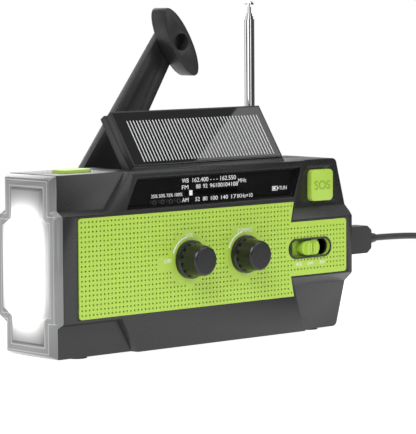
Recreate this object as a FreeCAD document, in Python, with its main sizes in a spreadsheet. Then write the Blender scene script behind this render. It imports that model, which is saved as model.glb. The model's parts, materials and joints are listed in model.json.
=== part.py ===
import FreeCAD, Part
import math
import os
import re
import Sketcher
from FreeCAD import Placement, Rotation, Vector

# Hand-crank and solar emergency radio. X runs along the case with the torch end at -X, the front
# faces -Y and +Z is up. Local y is counted from the front face and is moved into place by FRONT.

SIZES = [
    # case
    ("overall_length", 158.0), ("body_height", 70.0), ("body_depth", 38.5), ("foot_rise", 0.8),
    ("wall", 2.2), ("split_depth", 18.0), ("bezel_depth", 3.8), ("axis_height", 35.0),
    ("rear_step", 5.5), ("step_low", 12.5), ("step_high", 57.5), ("step_bevel", 3.0),
    ("end_taper", 6.0), ("end_low", 22.5), ("end_high", 48.5), ("wing_depth", 3.5),
    ("seam_gap", 0.05),
    # front face
    ("grille_thick", 1.6), ("grille_sink", 1.2), ("grille_low", 15.7), ("grille_high", 54.3),
    ("grille_left", -68.0), ("grille_right", 44.0), ("grille_end", 75.2), ("tab_low", 24.0),
    ("tab_high", 46.0), ("hole_pitch", 1.87), ("hole_r", 0.42),
    ("window_low", 56.3), ("window_high", 68.2), ("window_thick", 1.2), ("window_lip", 0.8),
    ("dial_thick", 0.8), ("knob_pitch", 29.5), ("tuning_x", 17.6), ("knob_base_r", 7.6),
    ("knob_top_r", 5.6), ("knob_reach", 10.2), ("shaft_r", 3.0), ("slot_length", 22.6),
    ("slot_high", 6.6), ("slot_x", 54.2), ("slider_length", 10.0), ("slider_high", 5.8),
    ("sos_x", 63.0), ("sos_z", 60.2), ("sos_wide", 12.4), ("sos_high", 12.8),
    ("press_gap", 0.15), ("light_x", -57.0), ("light_y", 17.0), ("light_long", 15.0),
    ("light_wide", 9.0), ("run_gap", 0.06),
    ("screw_r", 1.25), ("screw_head_r", 2.3), ("screw_head", 1.6), ("screw_start", 9.0),
    # solar panel
    ("panel_x", 5.6), ("panel_long", 79.8), ("panel_reach", 26.4), ("panel_thick", 6.9),
    ("panel_axis_y", 8.45), ("panel_axis_z", 69.3), ("panel_angle", 55.7), ("panel_pin_r", 1.0),
    ("tray_gap", 0.5),
    # crank
    ("crank_x", -31.0), ("crank_z", 45.3), ("crank_reach", 90.0), ("crank_angle", 34.7),
    ("crank_gap", 1.0), ("crank_knob_thick", 8.4), ("arm_gap", 0.3), ("arm_thick", 3.4),
    ("arm_root", 20.6), ("arm_tip", 11.6), ("hub_r", 12.0), ("barrel_r", 3.0), ("lug_wide", 8.0),
    ("crank_pin_r", 1.2), ("knob_half_long", 16.0), ("knob_half_wide", 5.4), ("knob_hole_r", 3.45),
    ("knob_lean", 65.7), ("crank_shaft_r", 2.5),
    # gears
    ("tooth_size", 0.6), ("wheel_teeth", 48.0), ("pinion_teeth", 12.0), ("gear_wide", 3.0),
    ("drive_y", 27.0), ("idler_y", 23.0), ("rack_teeth", 16.0), ("dial_gear_teeth", 14.0),
    # speaker, cells and boards
    ("speaker_x", -42.4), ("speaker_r", 18.0), ("board_thick", 1.6),
    ("board_y", 14.0), ("cell_left", -58.0), ("cell_r", 9.2), ("cell_long", 65.0),
    # telescopic antenna
    ("mast_x", 54.3), ("mast_y", 35.4), ("mast_pivot_z", 62.0), ("mast_r", 2.1),
    ("mast_wall", 0.35), ("mast_top", 128.2),
    # lead
    ("lead_r", 1.35), ("port_y", 12.0), ("plug_high", 11.6), ("plug_thick", 6.8),
    ("plug_long", 20.5),
]

doc = FreeCAD.newDocument("emergency_radio")
sheet = doc.addObject("Spreadsheet::Sheet", "Sizes")
for row, (alias, number) in enumerate(SIZES, 1):
    sheet.set(f"A{row}", alias)
    sheet.set(f"B{row}", str(number))
    sheet.setAlias(f"B{row}", alias)
doc.recompute()

ALIAS = re.compile(r"\b(" + "|".join(alias for alias, number in SIZES) + r")\b")


def linked(text):
    """Turn a rule written with plain size names into an expression on the sheet."""
    return ALIAS.sub(r"Sizes.\g<0>", str(text))


def value(text):
    return float(sheet.evalExpression(linked(text)))


# Places that many pieces share, as rules on the sheet.
PIN_Y = "(body_depth + crank_gap + crank_knob_thick + arm_gap + arm_thick / 2)"
FRONT = f"((knob_reach - {PIN_Y} - barrel_r) / 2)"
LEFT = "(bezel_depth - overall_length / 2)"
RIGHT = "(overall_length / 2)"
BASE = "(foot_rise)"
TOP = "(foot_rise + body_height)"
SHELF_Y = "(body_depth - rear_step)"
TRAY_Z = "(panel_axis_z - panel_thick / 2 - tray_gap)"
VOLUME_X = "(tuning_x - knob_pitch)"

shift_y = FRONT


def place(item, x, y, z):
    """Bind an object's place to the sheet; y is counted from the front face in the case's frame."""
    for axis, text in (("x", x), ("y", f"{shift_y} + {y}"), ("z", z)):
        item.setExpression(f"Placement.Base.{axis}", linked(text))


def bind(item, **rules):
    for name, text in rules.items():
        item.setExpression(name, linked(text))
    return item


def box(name, x, y, z, long, deep, high):
    item = bind(doc.addObject("Part::Box", name), Length=long, Width=deep, Height=high)
    place(item, x, y, z)
    return item


TURN = {"z": Rotation(), "y": Rotation(Vector(1, 0, 0), -90), "x": Rotation(Vector(0, 1, 0), 90)}


def rod(name, axis, x, y, z, radius, length):
    item = bind(doc.addObject("Part::Cylinder", name), Radius=radius, Height=length)
    item.Placement = Placement(Vector(), TURN[axis])
    place(item, x, y, z)
    return item


def cone(name, axis, x, y, z, radius_1, radius_2, length):
    item = bind(doc.addObject("Part::Cone", name), Radius1=radius_1, Radius2=radius_2, Height=length)
    item.Placement = Placement(Vector(), TURN[axis])
    place(item, x, y, z)
    return item


def join(name, pieces):
    item = doc.addObject("Part::MultiFuse", name)
    item.Shapes = pieces
    item.Refine = True
    return item


def cut(name, base, tools):
    tool = tools[0] if len(tools) == 1 else join(name + "_tools", tools)
    item = doc.addObject("Part::Cut", name)
    item.Base = base
    item.Tool = tool
    return item


def overlap(name, first, second):
    item = doc.addObject("Part::Common", name)
    item.Base = first
    item.Tool = second
    return item


def draw(sketch, points, holes=()):
    """Draw a closed outline through points whose coordinates are rules, with round holes in it."""
    corners = [Vector(value(across), value(up), 0) for across, up in points]
    count = len(corners)
    sides = [Part.LineSegment(corners[i], corners[(i + 1) % count]) for i in range(count)]
    sketch.addGeometry(sides, False)
    joins = [Sketcher.Constraint("Coincident", i, 2, (i + 1) % count, 1) for i in range(count)]
    sketch.addConstraint(joins)
    marks = [(i, 1, across, up) for i, (across, up) in enumerate(points)]
    for across, up, radius in holes:
        middle = Vector(value(across), value(up), 0)
        ring = sketch.addGeometry(Part.Circle(middle, Vector(0, 0, 1), value(radius)), False)
        index = sketch.addConstraint(Sketcher.Constraint("Radius", ring, value(radius)))
        sketch.setExpression(f"Constraints[{index}]", linked(radius))
        marks.append((ring, 3, across, up))
    for piece, point, across, up in marks:
        for kind, text in (("DistanceX", across), ("DistanceY", up)):
            rule = Sketcher.Constraint(kind, -1, 1, piece, point, value(text))
            index = sketch.addConstraint(rule)
            sketch.setExpression(f"Constraints[{index}]", linked(text))


def prism(name, plane, points, start, length, holes=(), rounds=None):
    """A padded outline. On XZ it grows to +Y from start, on YZ to +X and on XY to +Z.

    rounds is (radius, corner numbers): those corners of the outline get a fillet.
    """
    body = doc.addObject("PartDesign::Body", name)
    sketch = body.newObject("Sketcher::SketchObject", name + "_outline")
    datum = [item for item in body.Origin.OriginFeatures if item.Role == plane + "_Plane"][0]
    sketch.AttachmentSupport = [(datum, "")]
    sketch.MapMode = "FlatFace"
    draw(sketch, points, holes)
    pad = body.newObject("PartDesign::Pad", name + "_pad")
    pad.Profile = sketch
    pad.Reversed = plane == "XZ"
    bind(pad, Length=length)
    if rounds:
        doc.recompute()
        radius, chosen = rounds
        edges = corner_edges(pad.Shape, plane, [points[i] for i in chosen])
        fillet = body.newObject("PartDesign::Fillet", name + "_rounds")
        fillet.Base = (pad, edges)
        bind(fillet, Radius=radius)
    if plane == "XZ":
        place(body, "0", start, "0")
    elif plane == "YZ":
        place(body, start, "0", "0")
    else:
        place(body, "0", "0", start)
    return body


def corner_edges(shape, plane, points):
    """Names of the pad's edges that stand on the given corners of its outline."""
    spots = [(value(across), value(up)) for across, up in points]
    names = []
    for number, edge in enumerate(shape.Edges, 1):
        first, last = edge.Vertexes[0].Point, edge.Vertexes[-1].Point
        if plane == "XZ":
            ends = [(first.x, first.z), (last.x, last.z)]
        elif plane == "YZ":
            ends = [(first.y, first.z), (last.y, last.z)]
        else:
            ends = [(first.x, first.y), (last.x, last.y)]
        for spot in spots:
            if all(math.dist(end, spot) < 1e-4 for end in ends):
                names.append(f"Edge{number}")
    return names


def solid_piece(name, shape):
    """A piece whose surface only Part's own functions can make; its shape is in the case's frame."""
    item = doc.addObject("Part::Feature", name)
    item.Shape = shape
    return item


parts = {}


def keep(name, item):
    """Name the finished piece; its label is its node and its file."""
    item.Label = name
    parts[name] = item
    return item


def frame(low_x, low_z, high_x, high_z):
    return [(low_x, low_z), (high_x, low_z), (high_x, high_z), (low_x, high_z)]


# ---------------------------------------------------------------- case shells

def end_outline(inset):
    """The stepped outline of the case seen along X, drawn inset inside its true size."""
    return [
        (f"wing_depth + {inset}", f"{BASE} + {inset}"),
        (f"{SHELF_Y} - {inset}", f"{BASE} + {inset}"),
        (f"{SHELF_Y} - {inset}", f"step_low + 0.6 * {inset}"),
        (f"body_depth - {inset}", f"step_low + step_bevel + 0.6 * {inset}"),
        (f"body_depth - {inset}", f"step_high - step_bevel - 0.6 * {inset}"),
        (f"{SHELF_Y} - {inset}", f"step_high - 0.6 * {inset}"),
        (f"{SHELF_Y} - {inset}", f"{TOP} - {inset}"),
        (f"wing_depth + {inset}", f"{TOP} - {inset}"),
        (f"wing_depth + {inset}", f"step_high - 0.6 * {inset}"),
        (f"{inset}", f"step_high - step_bevel + 1 - 0.6 * {inset}"),
        (f"{inset}", f"step_low + step_bevel - 1 + 0.6 * {inset}"),
        (f"wing_depth + {inset}", f"step_low + 0.6 * {inset}"),
    ]


REAR = end_outline("0")[1:7]
profile = [("0", BASE)] + REAR + [("0", TOP)]
silhouette = [
    (LEFT, BASE), (f"{RIGHT} - end_taper", BASE), (RIGHT, "end_low"), (RIGHT, "end_high"),
    (f"{RIGHT} - end_taper", TOP), (LEFT, TOP),
]
block_side = prism("block_side", "YZ", profile, LEFT, "overall_length - bezel_depth",
                   rounds=("1.6", [1, 3, 4, 6]))
block_front = prism("block_front", "XZ", silhouette, "-1", "body_depth + 2",
                    rounds=("2.5", [1, 2, 3, 4]))
block = overlap("case_block", block_side, block_front)


def wing(name, corner_x, corner_z, slope, side, up, bevel):
    """A recess at one corner of the front: a slanted side wall, a bevel and a floor."""
    far_z = f"({TOP} + 2)" if up > 0 else f"({BASE} - 2)"
    far_x = f"({RIGHT} + 2)" if side > 0 else f"({LEFT} - 2)"
    sketches = []
    for depth, drop, draft in (("0", "0", "0"), ("wing_depth", bevel, "0.6")):
        near_z = f"({corner_z} + {up} * {drop})"
        near_x = f"({corner_x} + {side} * {draft} + {slope} * {up} * {drop})"
        end_x = f"({corner_x} + {side} * {draft} + {slope} * ({far_z} - {corner_z}))"
        sketch = doc.addObject("Sketcher::SketchObject", name + "_outline")
        sketch.Placement = Placement(Vector(), Rotation(Vector(1, 0, 0), 90))
        draw(sketch, [(far_x, near_z), (near_x, near_z), (end_x, far_z), (far_x, far_z)])
        place(sketch, "0", depth, "0")
        sketches.append(sketch)
    loft = doc.addObject("Part::Loft", name)
    loft.Sections = sketches
    loft.Solid = True
    loft.Ruled = True
    return loft


wings = [
    wing("wing_top_left", "-53.0", "55.5", "0.757", -1, 1, "1.5"),
    wing("wing_low_left", "-46.5", "14.5", "-0.567", -1, -1, "1.3"),
    wing("wing_top_right", "44.4", "46.9", "0.335", 1, 1, "4.4"),
    wing("wing_low_right", "44.4", "23.1", "-0.335", 1, -1, "3.8"),
]
carved = cut("case_carved", block, wings)


def grille_outline(gap):
    """The perforated plate: a long field with a lower tab to its right, grown by gap."""
    return [
        (f"grille_left - {gap}", f"grille_low - {gap}"),
        (f"grille_right + 1 + {gap}", f"grille_low - {gap}"),
        (f"grille_right - 0.7 + {gap}", f"tab_low - {gap}"),
        (f"grille_end + {gap}", f"tab_low - {gap}"),
        (f"grille_end + {gap}", f"tab_high + {gap}"),
        (f"grille_right - 0.7 + {gap}", f"tab_high + {gap}"),
        (f"grille_right + 1 + {gap}", f"grille_high + {gap}"),
        (f"grille_left - {gap}", f"grille_high + {gap}"),
    ]


def window_outline(inset):
    """The slanted dial window, drawn inset inside its true size."""
    return [
        (f"-43.8 + 1.5 * {inset}", f"window_low + {inset}"),
        (f"45.6 - 1.5 * {inset}", f"window_low + {inset}"),
        (f"49.6 - 1.5 * {inset}", f"window_high - {inset}"),
        (f"-38.2 + 1.5 * {inset}", f"window_high - {inset}"),
    ]


def stadium(name, x, y, z, length, high, deep):
    """A slot with round ends along X, cut through a wall that faces -Y."""
    middle = box(name + "_middle", f"{x} - {length} / 2 + {high} / 2", y, f"{z} - {high} / 2",
                 f"{length} - {high}", deep, high)
    ends = [rod(name + f"_end_{side}", "y", f"{x} + ({side}) * ({length} - {high}) / 2", y, z,
                f"{high} / 2", deep) for side in (-1, 1)]
    return join(name, [middle] + ends)


TRAY_LEFT = "(panel_x - panel_long / 2 - tray_gap)"
hollow = [
    box("hollow_middle", f"{LEFT} - 1", "wing_depth + wall", "step_low + wall",
        f"overall_length - bezel_depth - wall + 1", "body_depth - wing_depth - 2 * wall",
        "step_high - step_low - 2 * wall"),
    box("hollow_low", f"{LEFT} - 1", "wing_depth + wall", f"{BASE} + wall",
        "overall_length - bezel_depth - end_taper - 2 * wall", f"{SHELF_Y} - wing_depth - 2 * wall",
        f"{TRAY_Z} - {BASE} - 2 * wall"),
    box("hollow_left", f"{LEFT} - 1", "wing_depth + wall", "step_high - 10",
        f"{TRAY_LEFT} - {LEFT} - wall + 1", f"{SHELF_Y} - wing_depth - 2 * wall",
        f"{TOP} - step_high + 10 - wall"),
    box("hollow_right", "panel_x + panel_long / 2 + tray_gap + wall", "wing_depth + wall",
        "step_high - 10", f"{RIGHT} - end_taper - wall - 2 - panel_x - panel_long / 2 - tray_gap"
        " - wall", f"{SHELF_Y} - wing_depth - 2 * wall", f"{TOP} - step_high + 10 - wall"),
    box("hollow_front", f"{LEFT} + wall", "grille_sink + 1.4", "grille_low + 1",
        f"43 - {LEFT} - wall", "wing_depth + wall", "grille_high - grille_low - 2"),
    box("hollow_tab", "40", "grille_sink + 1.4", "tab_low + 1", f"{RIGHT} - wall - 40",
        "wing_depth + wall", "tab_high - tab_low - 2"),
    box("dial_well", "-20", "grille_sink + 1.4", "grille_high - 3", "52", "wing_depth + wall",
        "62.4 - grille_high + 3"),
]
mast_boss = overlap("mast_boss", block, box(
    "mast_boss_box", "mast_x - 6", f"{SHELF_Y} - 4", "step_high - 11", "12", "rear_step + 4", "11"))
SCREWS = [
    ("-66", "8.5", SHELF_Y), ("14", "8.5", SHELF_Y), ("64", "8.5", SHELF_Y),
    ("-66", "62", SHELF_Y), ("72", "48.5", "body_depth"),
]
screw_posts = [rod(f"screw_post_{i}", "y", x, "wing_depth + wall - 0.5", z, "screw_r + 1.9",
                   f"{rear} - wing_depth - wall") for i, (x, z, rear) in enumerate(SCREWS)]
axle_boss = rod("axle_boss", "y", "crank_x + 18", "body_depth - wall - 4.6", "crank_z", "3",
                "5.2")
hollow_case = join("hollow_case", [cut("hollow_block", carved, hollow), mast_boss, axle_boss]
                   + screw_posts)

tray = [
    box("tray_room", TRAY_LEFT, "panel_axis_y - panel_thick / 2 - tray_gap", TRAY_Z,
        "panel_long + 2 * tray_gap", "body_depth", "body_height"),
    rod("tray_pin_hole", "x", f"{TRAY_LEFT} - 3", "panel_axis_y", "panel_axis_z", "panel_pin_r",
        "panel_long + 2 * tray_gap + 6"),
]
front_cuts = [
    prism("grille_seat", "XZ", grille_outline("seam_gap"), "-1", "grille_sink + 1"),
    rod("speaker_opening", "y", "speaker_x", "-1", "axis_height", "speaker_r - 1.5", "6"),
    prism("window_seat", "XZ", window_outline("-seam_gap"), "-1", "window_thick + 1.2"),
    prism("window_opening", "XZ", window_outline("window_lip"), "-1", "4.3"),
    rod("volume_hole", "y", VOLUME_X, "-1", "axis_height", "shaft_r + 0.3", "6"),
    rod("tuning_hole", "y", "tuning_x", "-1", "axis_height", "shaft_r + 0.3", "6"),
    stadium("slider_slot", "slot_x", "-1", "axis_height", "slot_length", "slot_high", "6"),
    prism("sos_hole", "XZ", frame("sos_x - sos_wide / 2 - press_gap", "sos_z - sos_high / 2 - press_gap",
                                  "sos_x + sos_wide / 2 + press_gap", "sos_z + sos_high / 2 + press_gap"),
          "-1", "wing_depth + wall + 3.2", rounds=("2 + press_gap", [0, 1, 2, 3])),
    box("port_hole", f"{RIGHT} - wall - 4", "port_y - 2.2", "axis_height - 4.2", "wall + 5", "4.4",
        "8.4"),
]
light_hole = prism("light_hole", "XY", frame(
    "light_x - light_long / 2 - press_gap", "light_y - light_wide / 2 - press_gap",
    "light_x + light_long / 2 + press_gap", "light_y + light_wide / 2 + press_gap"),
    f"{TOP} - wall - 2", "wall + 4", rounds=("3 + press_gap", [0, 1, 2, 3]))
rear_cuts = [
    rod("hub_bore", "y", "crank_x", "body_depth - wall - 5", "crank_z", "crank_shaft_r + 1 + run_gap",
        "wall + 6"),
    rod("axle_bore", "y", "crank_x + 18", "body_depth - wall - 6", "crank_z", "1 + run_gap", "5"),
    rod("mast_well", "z", "mast_x", "mast_y", "step_high - 1.8", "mast_r + 1.3", "body_height"),
    rod("mast_bore", "z", "mast_x", "mast_y", "step_high - 10", "2.4 + run_gap", "12"),
]
screw_holes = [rod(f"screw_hole_{i}", "y", x, "screw_start", z, "screw_r + 0.05", "body_depth")
               for i, (x, z, rear) in enumerate(SCREWS)]
screw_seats = [rod(f"screw_seat_{i}", "y", x, f"{rear} - screw_head - 0.4", z, "screw_head_r + 0.2",
                   "4") for i, (x, z, rear) in enumerate(SCREWS)]

front_half = box("front_half", f"{LEFT} - 2", "-3", "-2", "overall_length + 4", "split_depth + 3",
                 "body_height + 6")
rear_half = box("rear_half", f"{LEFT} - 2", "split_depth + seam_gap", "-2", "overall_length + 4",
                "body_depth", "body_height + 6")
front_raw = overlap("front_raw", hollow_case, front_half)
rear_raw = overlap("rear_raw", hollow_case, rear_half)
keep("front_shell", cut("front_shell", front_raw, front_cuts + tray + screw_holes + [light_hole]))
keep("rear_shell", cut("rear_shell", rear_raw, rear_cuts + screw_holes + screw_seats + [
    box("tray_room_rear", TRAY_LEFT, "panel_axis_y", TRAY_Z, "panel_long + 2 * tray_gap",
        "body_depth", "body_height"),
    prism("light_hole_rear", "XY", frame(
        "light_x - light_long / 2 - press_gap", "light_y - light_wide / 2 - press_gap",
        "light_x + light_long / 2 + press_gap", "light_y + light_wide / 2 + press_gap"),
        f"{TOP} - wall - 2", "wall + 4", rounds=("3 + press_gap", [0, 1, 2, 3]))]))


# ---------------------------------------------------------------- screws and feet

keep("case_screws", join("case_screws", [
    item for i, (x, z, rear) in enumerate(SCREWS) for item in (
        rod(f"screw_shank_{i}", "y", x, "screw_start + 0.5", z, "screw_r",
            f"{rear} - screw_start - screw_head - 0.7"),
        rod(f"screw_head_{i}", "y", x, f"{rear} - screw_head - 0.3", z, "screw_head_r",
            "screw_head"))]))
keep("rubber_feet", join("rubber_feet", [
    rod(f"foot_{i}", "z", x, y, "0", "4", "foot_rise")
    for i, (x, y) in enumerate([("-62", "9"), ("62", "9"), ("-62", "27"), ("62", "27")])]))

# ---------------------------------------------------------------- perforated front plate

LABELS = [
    (f"{VOLUME_X} - 0.6", "axis_height + 9.6", 3.2, 1.9),
    (f"{VOLUME_X} - 12.6", "axis_height - 0.6", 4.2, 2.4),
    ("tuning_x - 0.4", "axis_height + 9.6", 6.0, 1.9), ("slot_x", "axis_height - 6.4", 9.6, 1.2),
]


def grille_solid():
    """The plate with its grid of sound holes, left blank round the knobs, slot and printed words."""
    outline = prism("grille_blank", "XZ", grille_outline("0"), "grille_sink - grille_thick",
                    "grille_thick", rounds=("1.3", [0, 3, 4, 7]))
    doc.recompute()
    front_y = value(f"{FRONT} + grille_sink - grille_thick")
    sheet_face = min(outline.Shape.Faces, key=lambda face: face.CenterOfMass.y)
    middle_z, pitch, radius = value("axis_height"), value("hole_pitch"), value("hole_r")
    knobs = [(value(VOLUME_X), middle_z), (value("tuning_x"), middle_z)]
    slot_x, slot_long, slot_high = value("slot_x"), value("slot_length"), value("slot_high")
    blanks = [(value(x), value(z), wide, high) for x, z, wide, high in LABELS]
    blanks.append((slot_x, middle_z, slot_long / 2 + 1.3, slot_high / 2 + 1.1))
    wires = [sheet_face.OuterWire]
    axis = Vector(0, 1, 0)
    columns = int((value("grille_end") - value("grille_left") - 2.4) / pitch)
    rows = int((value("grille_high") - value("grille_low") - 2.4) / pitch)
    for column in range(columns + 1):
        x = value("grille_left") + 1.3 + column * pitch
        for row in range(rows + 1):
            z = middle_z + (row - rows / 2) * pitch
            in_tab = value("tab_low") + 1 < z < value("tab_high") - 1
            slant = value("grille_right") - 0.9 + 0.2 * (abs(z - middle_z) - 11) / 1.87
            if x > (value("grille_end") - 1.2 if in_tab else slant):
                continue
            if any(math.dist((x, z), knob) < value("knob_base_r") + 2.9 for knob in knobs):
                continue
            if any(abs(x - bx) < wide and abs(z - bz) < high for bx, bz, wide, high in blanks):
                continue
            wires.append(Part.Wire(Part.makeCircle(radius, Vector(x, front_y, z), axis)))
    for x, z in knobs:
        ring = Part.makeCircle(value("shaft_r + 0.3"), Vector(x, front_y, z), axis)
        wires.append(Part.Wire(ring))
    half, end = slot_long / 2 - slot_high / 2, slot_high / 2
    corners = [Vector(slot_x + across, front_y, middle_z + up) for across, up in (
        (-half, end), (half, end), (half, -end), (-half, -end))]
    right_end = Part.Arc(corners[1], Vector(slot_x + half + end, front_y, middle_z), corners[2])
    left_end = Part.Arc(corners[3], Vector(slot_x - half - end, front_y, middle_z), corners[0])
    wires.append(Part.Wire([Part.LineSegment(corners[0], corners[1]).toShape(), right_end.toShape(),
                            Part.LineSegment(corners[2], corners[3]).toShape(), left_end.toShape()]))
    face = Part.makeFace(wires, "Part::FaceMakerBullseye")
    return face.extrude(Vector(0, value("grille_thick"), 0))


keep("front_grille", solid_piece("front_grille", grille_solid()))

# ---------------------------------------------------------------- dial

keep("dial_window", prism("dial_window", "XZ", window_outline("0"), "0.2", "window_thick",
                          rounds=("1", [0, 1, 2, 3])))
LED_X = ["-29.5", "-25.3", "-21.1", "-16.9"]
LED_Z = "window_low + 2"
POINTER_Z = "60.8"
pointer_slit = box("pointer_slit", "-11.5", "1", f"{POINTER_Z} - 1", "28", "4", "2")
dial_blank = prism("dial_blank", "XZ", window_outline("(window_lip + 0.12)"), "2.5", "dial_thick")
keep("dial_plate", cut("dial_plate", dial_blank, [pointer_slit] + [
    rod(f"led_hole_{i}", "y", x, "2", LED_Z, "0.8", "2") for i, x in enumerate(LED_X)]))
keep("battery_leds", join("battery_leds", [
    rod(f"battery_led_{i}", "y", x, "2.2", LED_Z, "0.75", "1.05") for i, x in enumerate(LED_X)]))


def involute_half_angle(radius, pitch_radius, module):
    """Half the angle that a tooth takes up at a radius, with 20 degree flanks and some backlash."""
    pressure = math.radians(20)
    base = pitch_radius * math.cos(pressure)
    here = math.acos(min(1.0, base / max(radius, base)))
    involute = lambda angle: math.tan(angle) - angle
    thickness = math.pi * module / 2 - 0.14 * module
    return thickness / (2 * pitch_radius) + involute(pressure) - involute(here)


def gear(teeth, x, y, z, wide, phase):
    """A spur gear in the XZ plane, grown to +Y, with a tooth centred at the phase angle."""
    module = value("tooth_size")
    pitch_radius = module * teeth / 2
    root, tip = pitch_radius - module, pitch_radius + 0.75 * module
    levels = [root, pitch_radius * math.cos(math.radians(20)), pitch_radius, tip]
    levels = sorted(max(root, level) for level in levels)
    points = []
    for tooth in range(teeth):
        middle = phase + 2 * math.pi * tooth / teeth
        spots = [(level, middle - involute_half_angle(level, pitch_radius, module)) for level in levels]
        spots += [(level, middle + involute_half_angle(level, pitch_radius, module))
                  for level in reversed(levels)]
        for level, angle in spots:
            spot = Vector(x + level * math.cos(angle), y, z + level * math.sin(angle))
            if not points or (spot - points[-1]).Length > 1e-6:
                points.append(spot)
    face = Part.Face(Part.makePolygon(points + [points[0]]))
    return face.extrude(Vector(0, wide, 0))


def cylinder(x, y, z, radius, length):
    return Part.makeCylinder(radius, length, Vector(x, y, z), Vector(0, 1, 0))


TUNING = {"x": value("tuning_x"), "z": value("axis_height")}
DIAL_GEAR_R = value("tooth_size * dial_gear_teeth / 2")
front_y = value(FRONT)


def pointer_solid():
    """The pointer, its arm and the rack that the tuning shaft's gear drives, as one moulding."""
    module = value("tooth_size")
    step = math.pi * module
    pitch_z = TUNING["z"] + DIAL_GEAR_R
    teeth = int(value("rack_teeth"))
    first = TUNING["x"] - (teeth - 2.5) * step
    half_root, half_tip = step / 4 + 0.3 * module, step / 4 - 0.37 * module
    points = [Vector(first - step, front_y + 3.5, pitch_z + 2.2),
              Vector(first - step, front_y + 3.5, pitch_z + module)]
    for tooth in range(teeth):
        middle = first + tooth * step
        for across, up in ((-half_root, module), (-half_tip, -0.75 * module),
                           (half_tip, -0.75 * module), (half_root, module)):
            points.append(Vector(middle + across, front_y + 3.5, pitch_z + up))
    points.append(Vector(first + teeth * step, front_y + 3.5, pitch_z + module))
    points.append(Vector(first + teeth * step, front_y + 3.5, pitch_z + 2.2))
    bar = Part.Face(Part.makePolygon(points + [points[0]])).extrude(Vector(0, 2.3, 0))
    pointer_x, head_z = first - step + 1.2, value(POINTER_Z)
    arm = Part.makeBox(2.4, 1.2, head_z + 0.8 - pitch_z - 2, Vector(
        pointer_x - 1.2, front_y + 3.5, pitch_z + 2))
    head = Part.makeBox(1.9, 2.2, 1.6, Vector(pointer_x - 0.95, front_y + 1.8, head_z - 0.8))
    return bar.fuse([arm, head]).removeSplitter()


keep("dial_pointer", solid_piece("dial_pointer", pointer_solid()))

# ---------------------------------------------------------------- knobs and their controls

FLUTES = 14


def control_knob(name, x):
    """A round knob with a wide foot, a fluted grip that narrows to its face and a shaft hole."""
    body = doc.addObject("PartDesign::Body", name)
    planes = {item.Role: item for item in body.Origin.OriginFeatures}
    outline = body.newObject("Sketcher::SketchObject", name + "_profile")
    outline.AttachmentSupport = [(planes["YZ_Plane"], "")]
    outline.MapMode = "FlatFace"
    draw(outline, [
        ("-0.6", "0.001"), ("-0.6", "knob_base_r"), ("-2.3", "knob_base_r"), ("-2.7", "knob_base_r - 0.5"),
        ("-2.8", "knob_top_r + 1.3"), ("0.7 - knob_reach", "knob_top_r + 0.25"),
        ("0.15 - knob_reach", "knob_top_r - 0.15"), ("-knob_reach", "knob_top_r - 0.6"),
        ("-knob_reach", "0.001"),
    ])
    turned = body.newObject("PartDesign::Revolution", name + "_turned")
    turned.Profile = outline
    turned.ReferenceAxis = (outline, ["H_Axis"])
    turned.Angle = 360
    bores = body.newObject("Sketcher::SketchObject", name + "_bore_circle")
    bores.AttachmentSupport = [(planes["XZ_Plane"], "")]
    bores.MapMode = "FlatFace"
    add_circle(bores, "0", "0", "shaft_r")
    bore = body.newObject("PartDesign::Pocket", name + "_bore")
    bore.Profile = bores
    bore.Reversed = True
    bind(bore, Length="knob_reach - 2")
    flute_circle = body.newObject("Sketcher::SketchObject", name + "_flute_circle")
    flute_circle.AttachmentSupport = [(planes["XZ_Plane"], "")]
    flute_circle.MapMode = "FlatFace"
    flute_circle.AttachmentOffset = Placement(Vector(0, 0, 2.9), Rotation())
    add_circle(flute_circle, "0", "knob_top_r + 1.75", "0.95")
    flute = body.newObject("PartDesign::Pocket", name + "_flute")
    flute.Profile = flute_circle
    flute.Reversed = True
    bind(flute, Length="knob_reach")
    doc.recompute()
    flutes = body.newObject("PartDesign::PolarPattern", name + "_flutes")
    flutes.Originals = [flute]
    flutes.Axis = (planes["Y_Axis"], [""])
    flutes.Angle = 360
    flutes.Occurrences = FLUTES
    body.Tip = flutes
    place(body, x, "0", "axis_height")
    return body


def add_circle(sketch, across, up, radius):
    ring = sketch.addGeometry(Part.Circle(Vector(value(across), value(up), 0), Vector(0, 0, 1),
                                          value(radius)), False)
    rules = [("Radius", (ring,), radius), ("DistanceX", (-1, 1, ring, 3), across),
             ("DistanceY", (-1, 1, ring, 3), up)]
    for kind, where, text in rules:
        index = sketch.addConstraint(Sketcher.Constraint(kind, *where, value(text)))
        sketch.setExpression(f"Constraints[{index}]", linked(text))


for control, x in (("volume", VOLUME_X), ("tuning", "tuning_x")):
    keep(control + "_knob", control_knob(control + "_knob", x))

keep("volume_shaft", rod("volume_shaft", "y", VOLUME_X, "2.2 - knob_reach", "axis_height",
                         "shaft_r - 0.02", "knob_reach + 5.3"))
tuning_shaft = cylinder(TUNING["x"], front_y + value("2.2 - knob_reach"), TUNING["z"],
                        value("shaft_r - 0.02"), value("knob_reach + 5.3"))
dial_gear = gear(int(value("dial_gear_teeth")), TUNING["x"], front_y + 3.6, TUNING["z"], 2.1, math.pi / 2)
keep("tuning_shaft", solid_piece("tuning_shaft", tuning_shaft.fuse(dial_gear).removeSplitter()))
for control, x, side in (("volume_control", VOLUME_X, "16"), ("tuning_capacitor", "tuning_x", "19")):
    can = box(control + "_can", f"{x} - {side} / 2", "6.6", f"axis_height - {side} / 2", side,
              "board_y - 6.6", side)
    keep(control, cut(control, can, [rod(control + "_bore", "y", x, "6", "axis_height",
                                         "shaft_r + run_gap", "2")]))

# ---------------------------------------------------------------- band switch and push buttons

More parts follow.
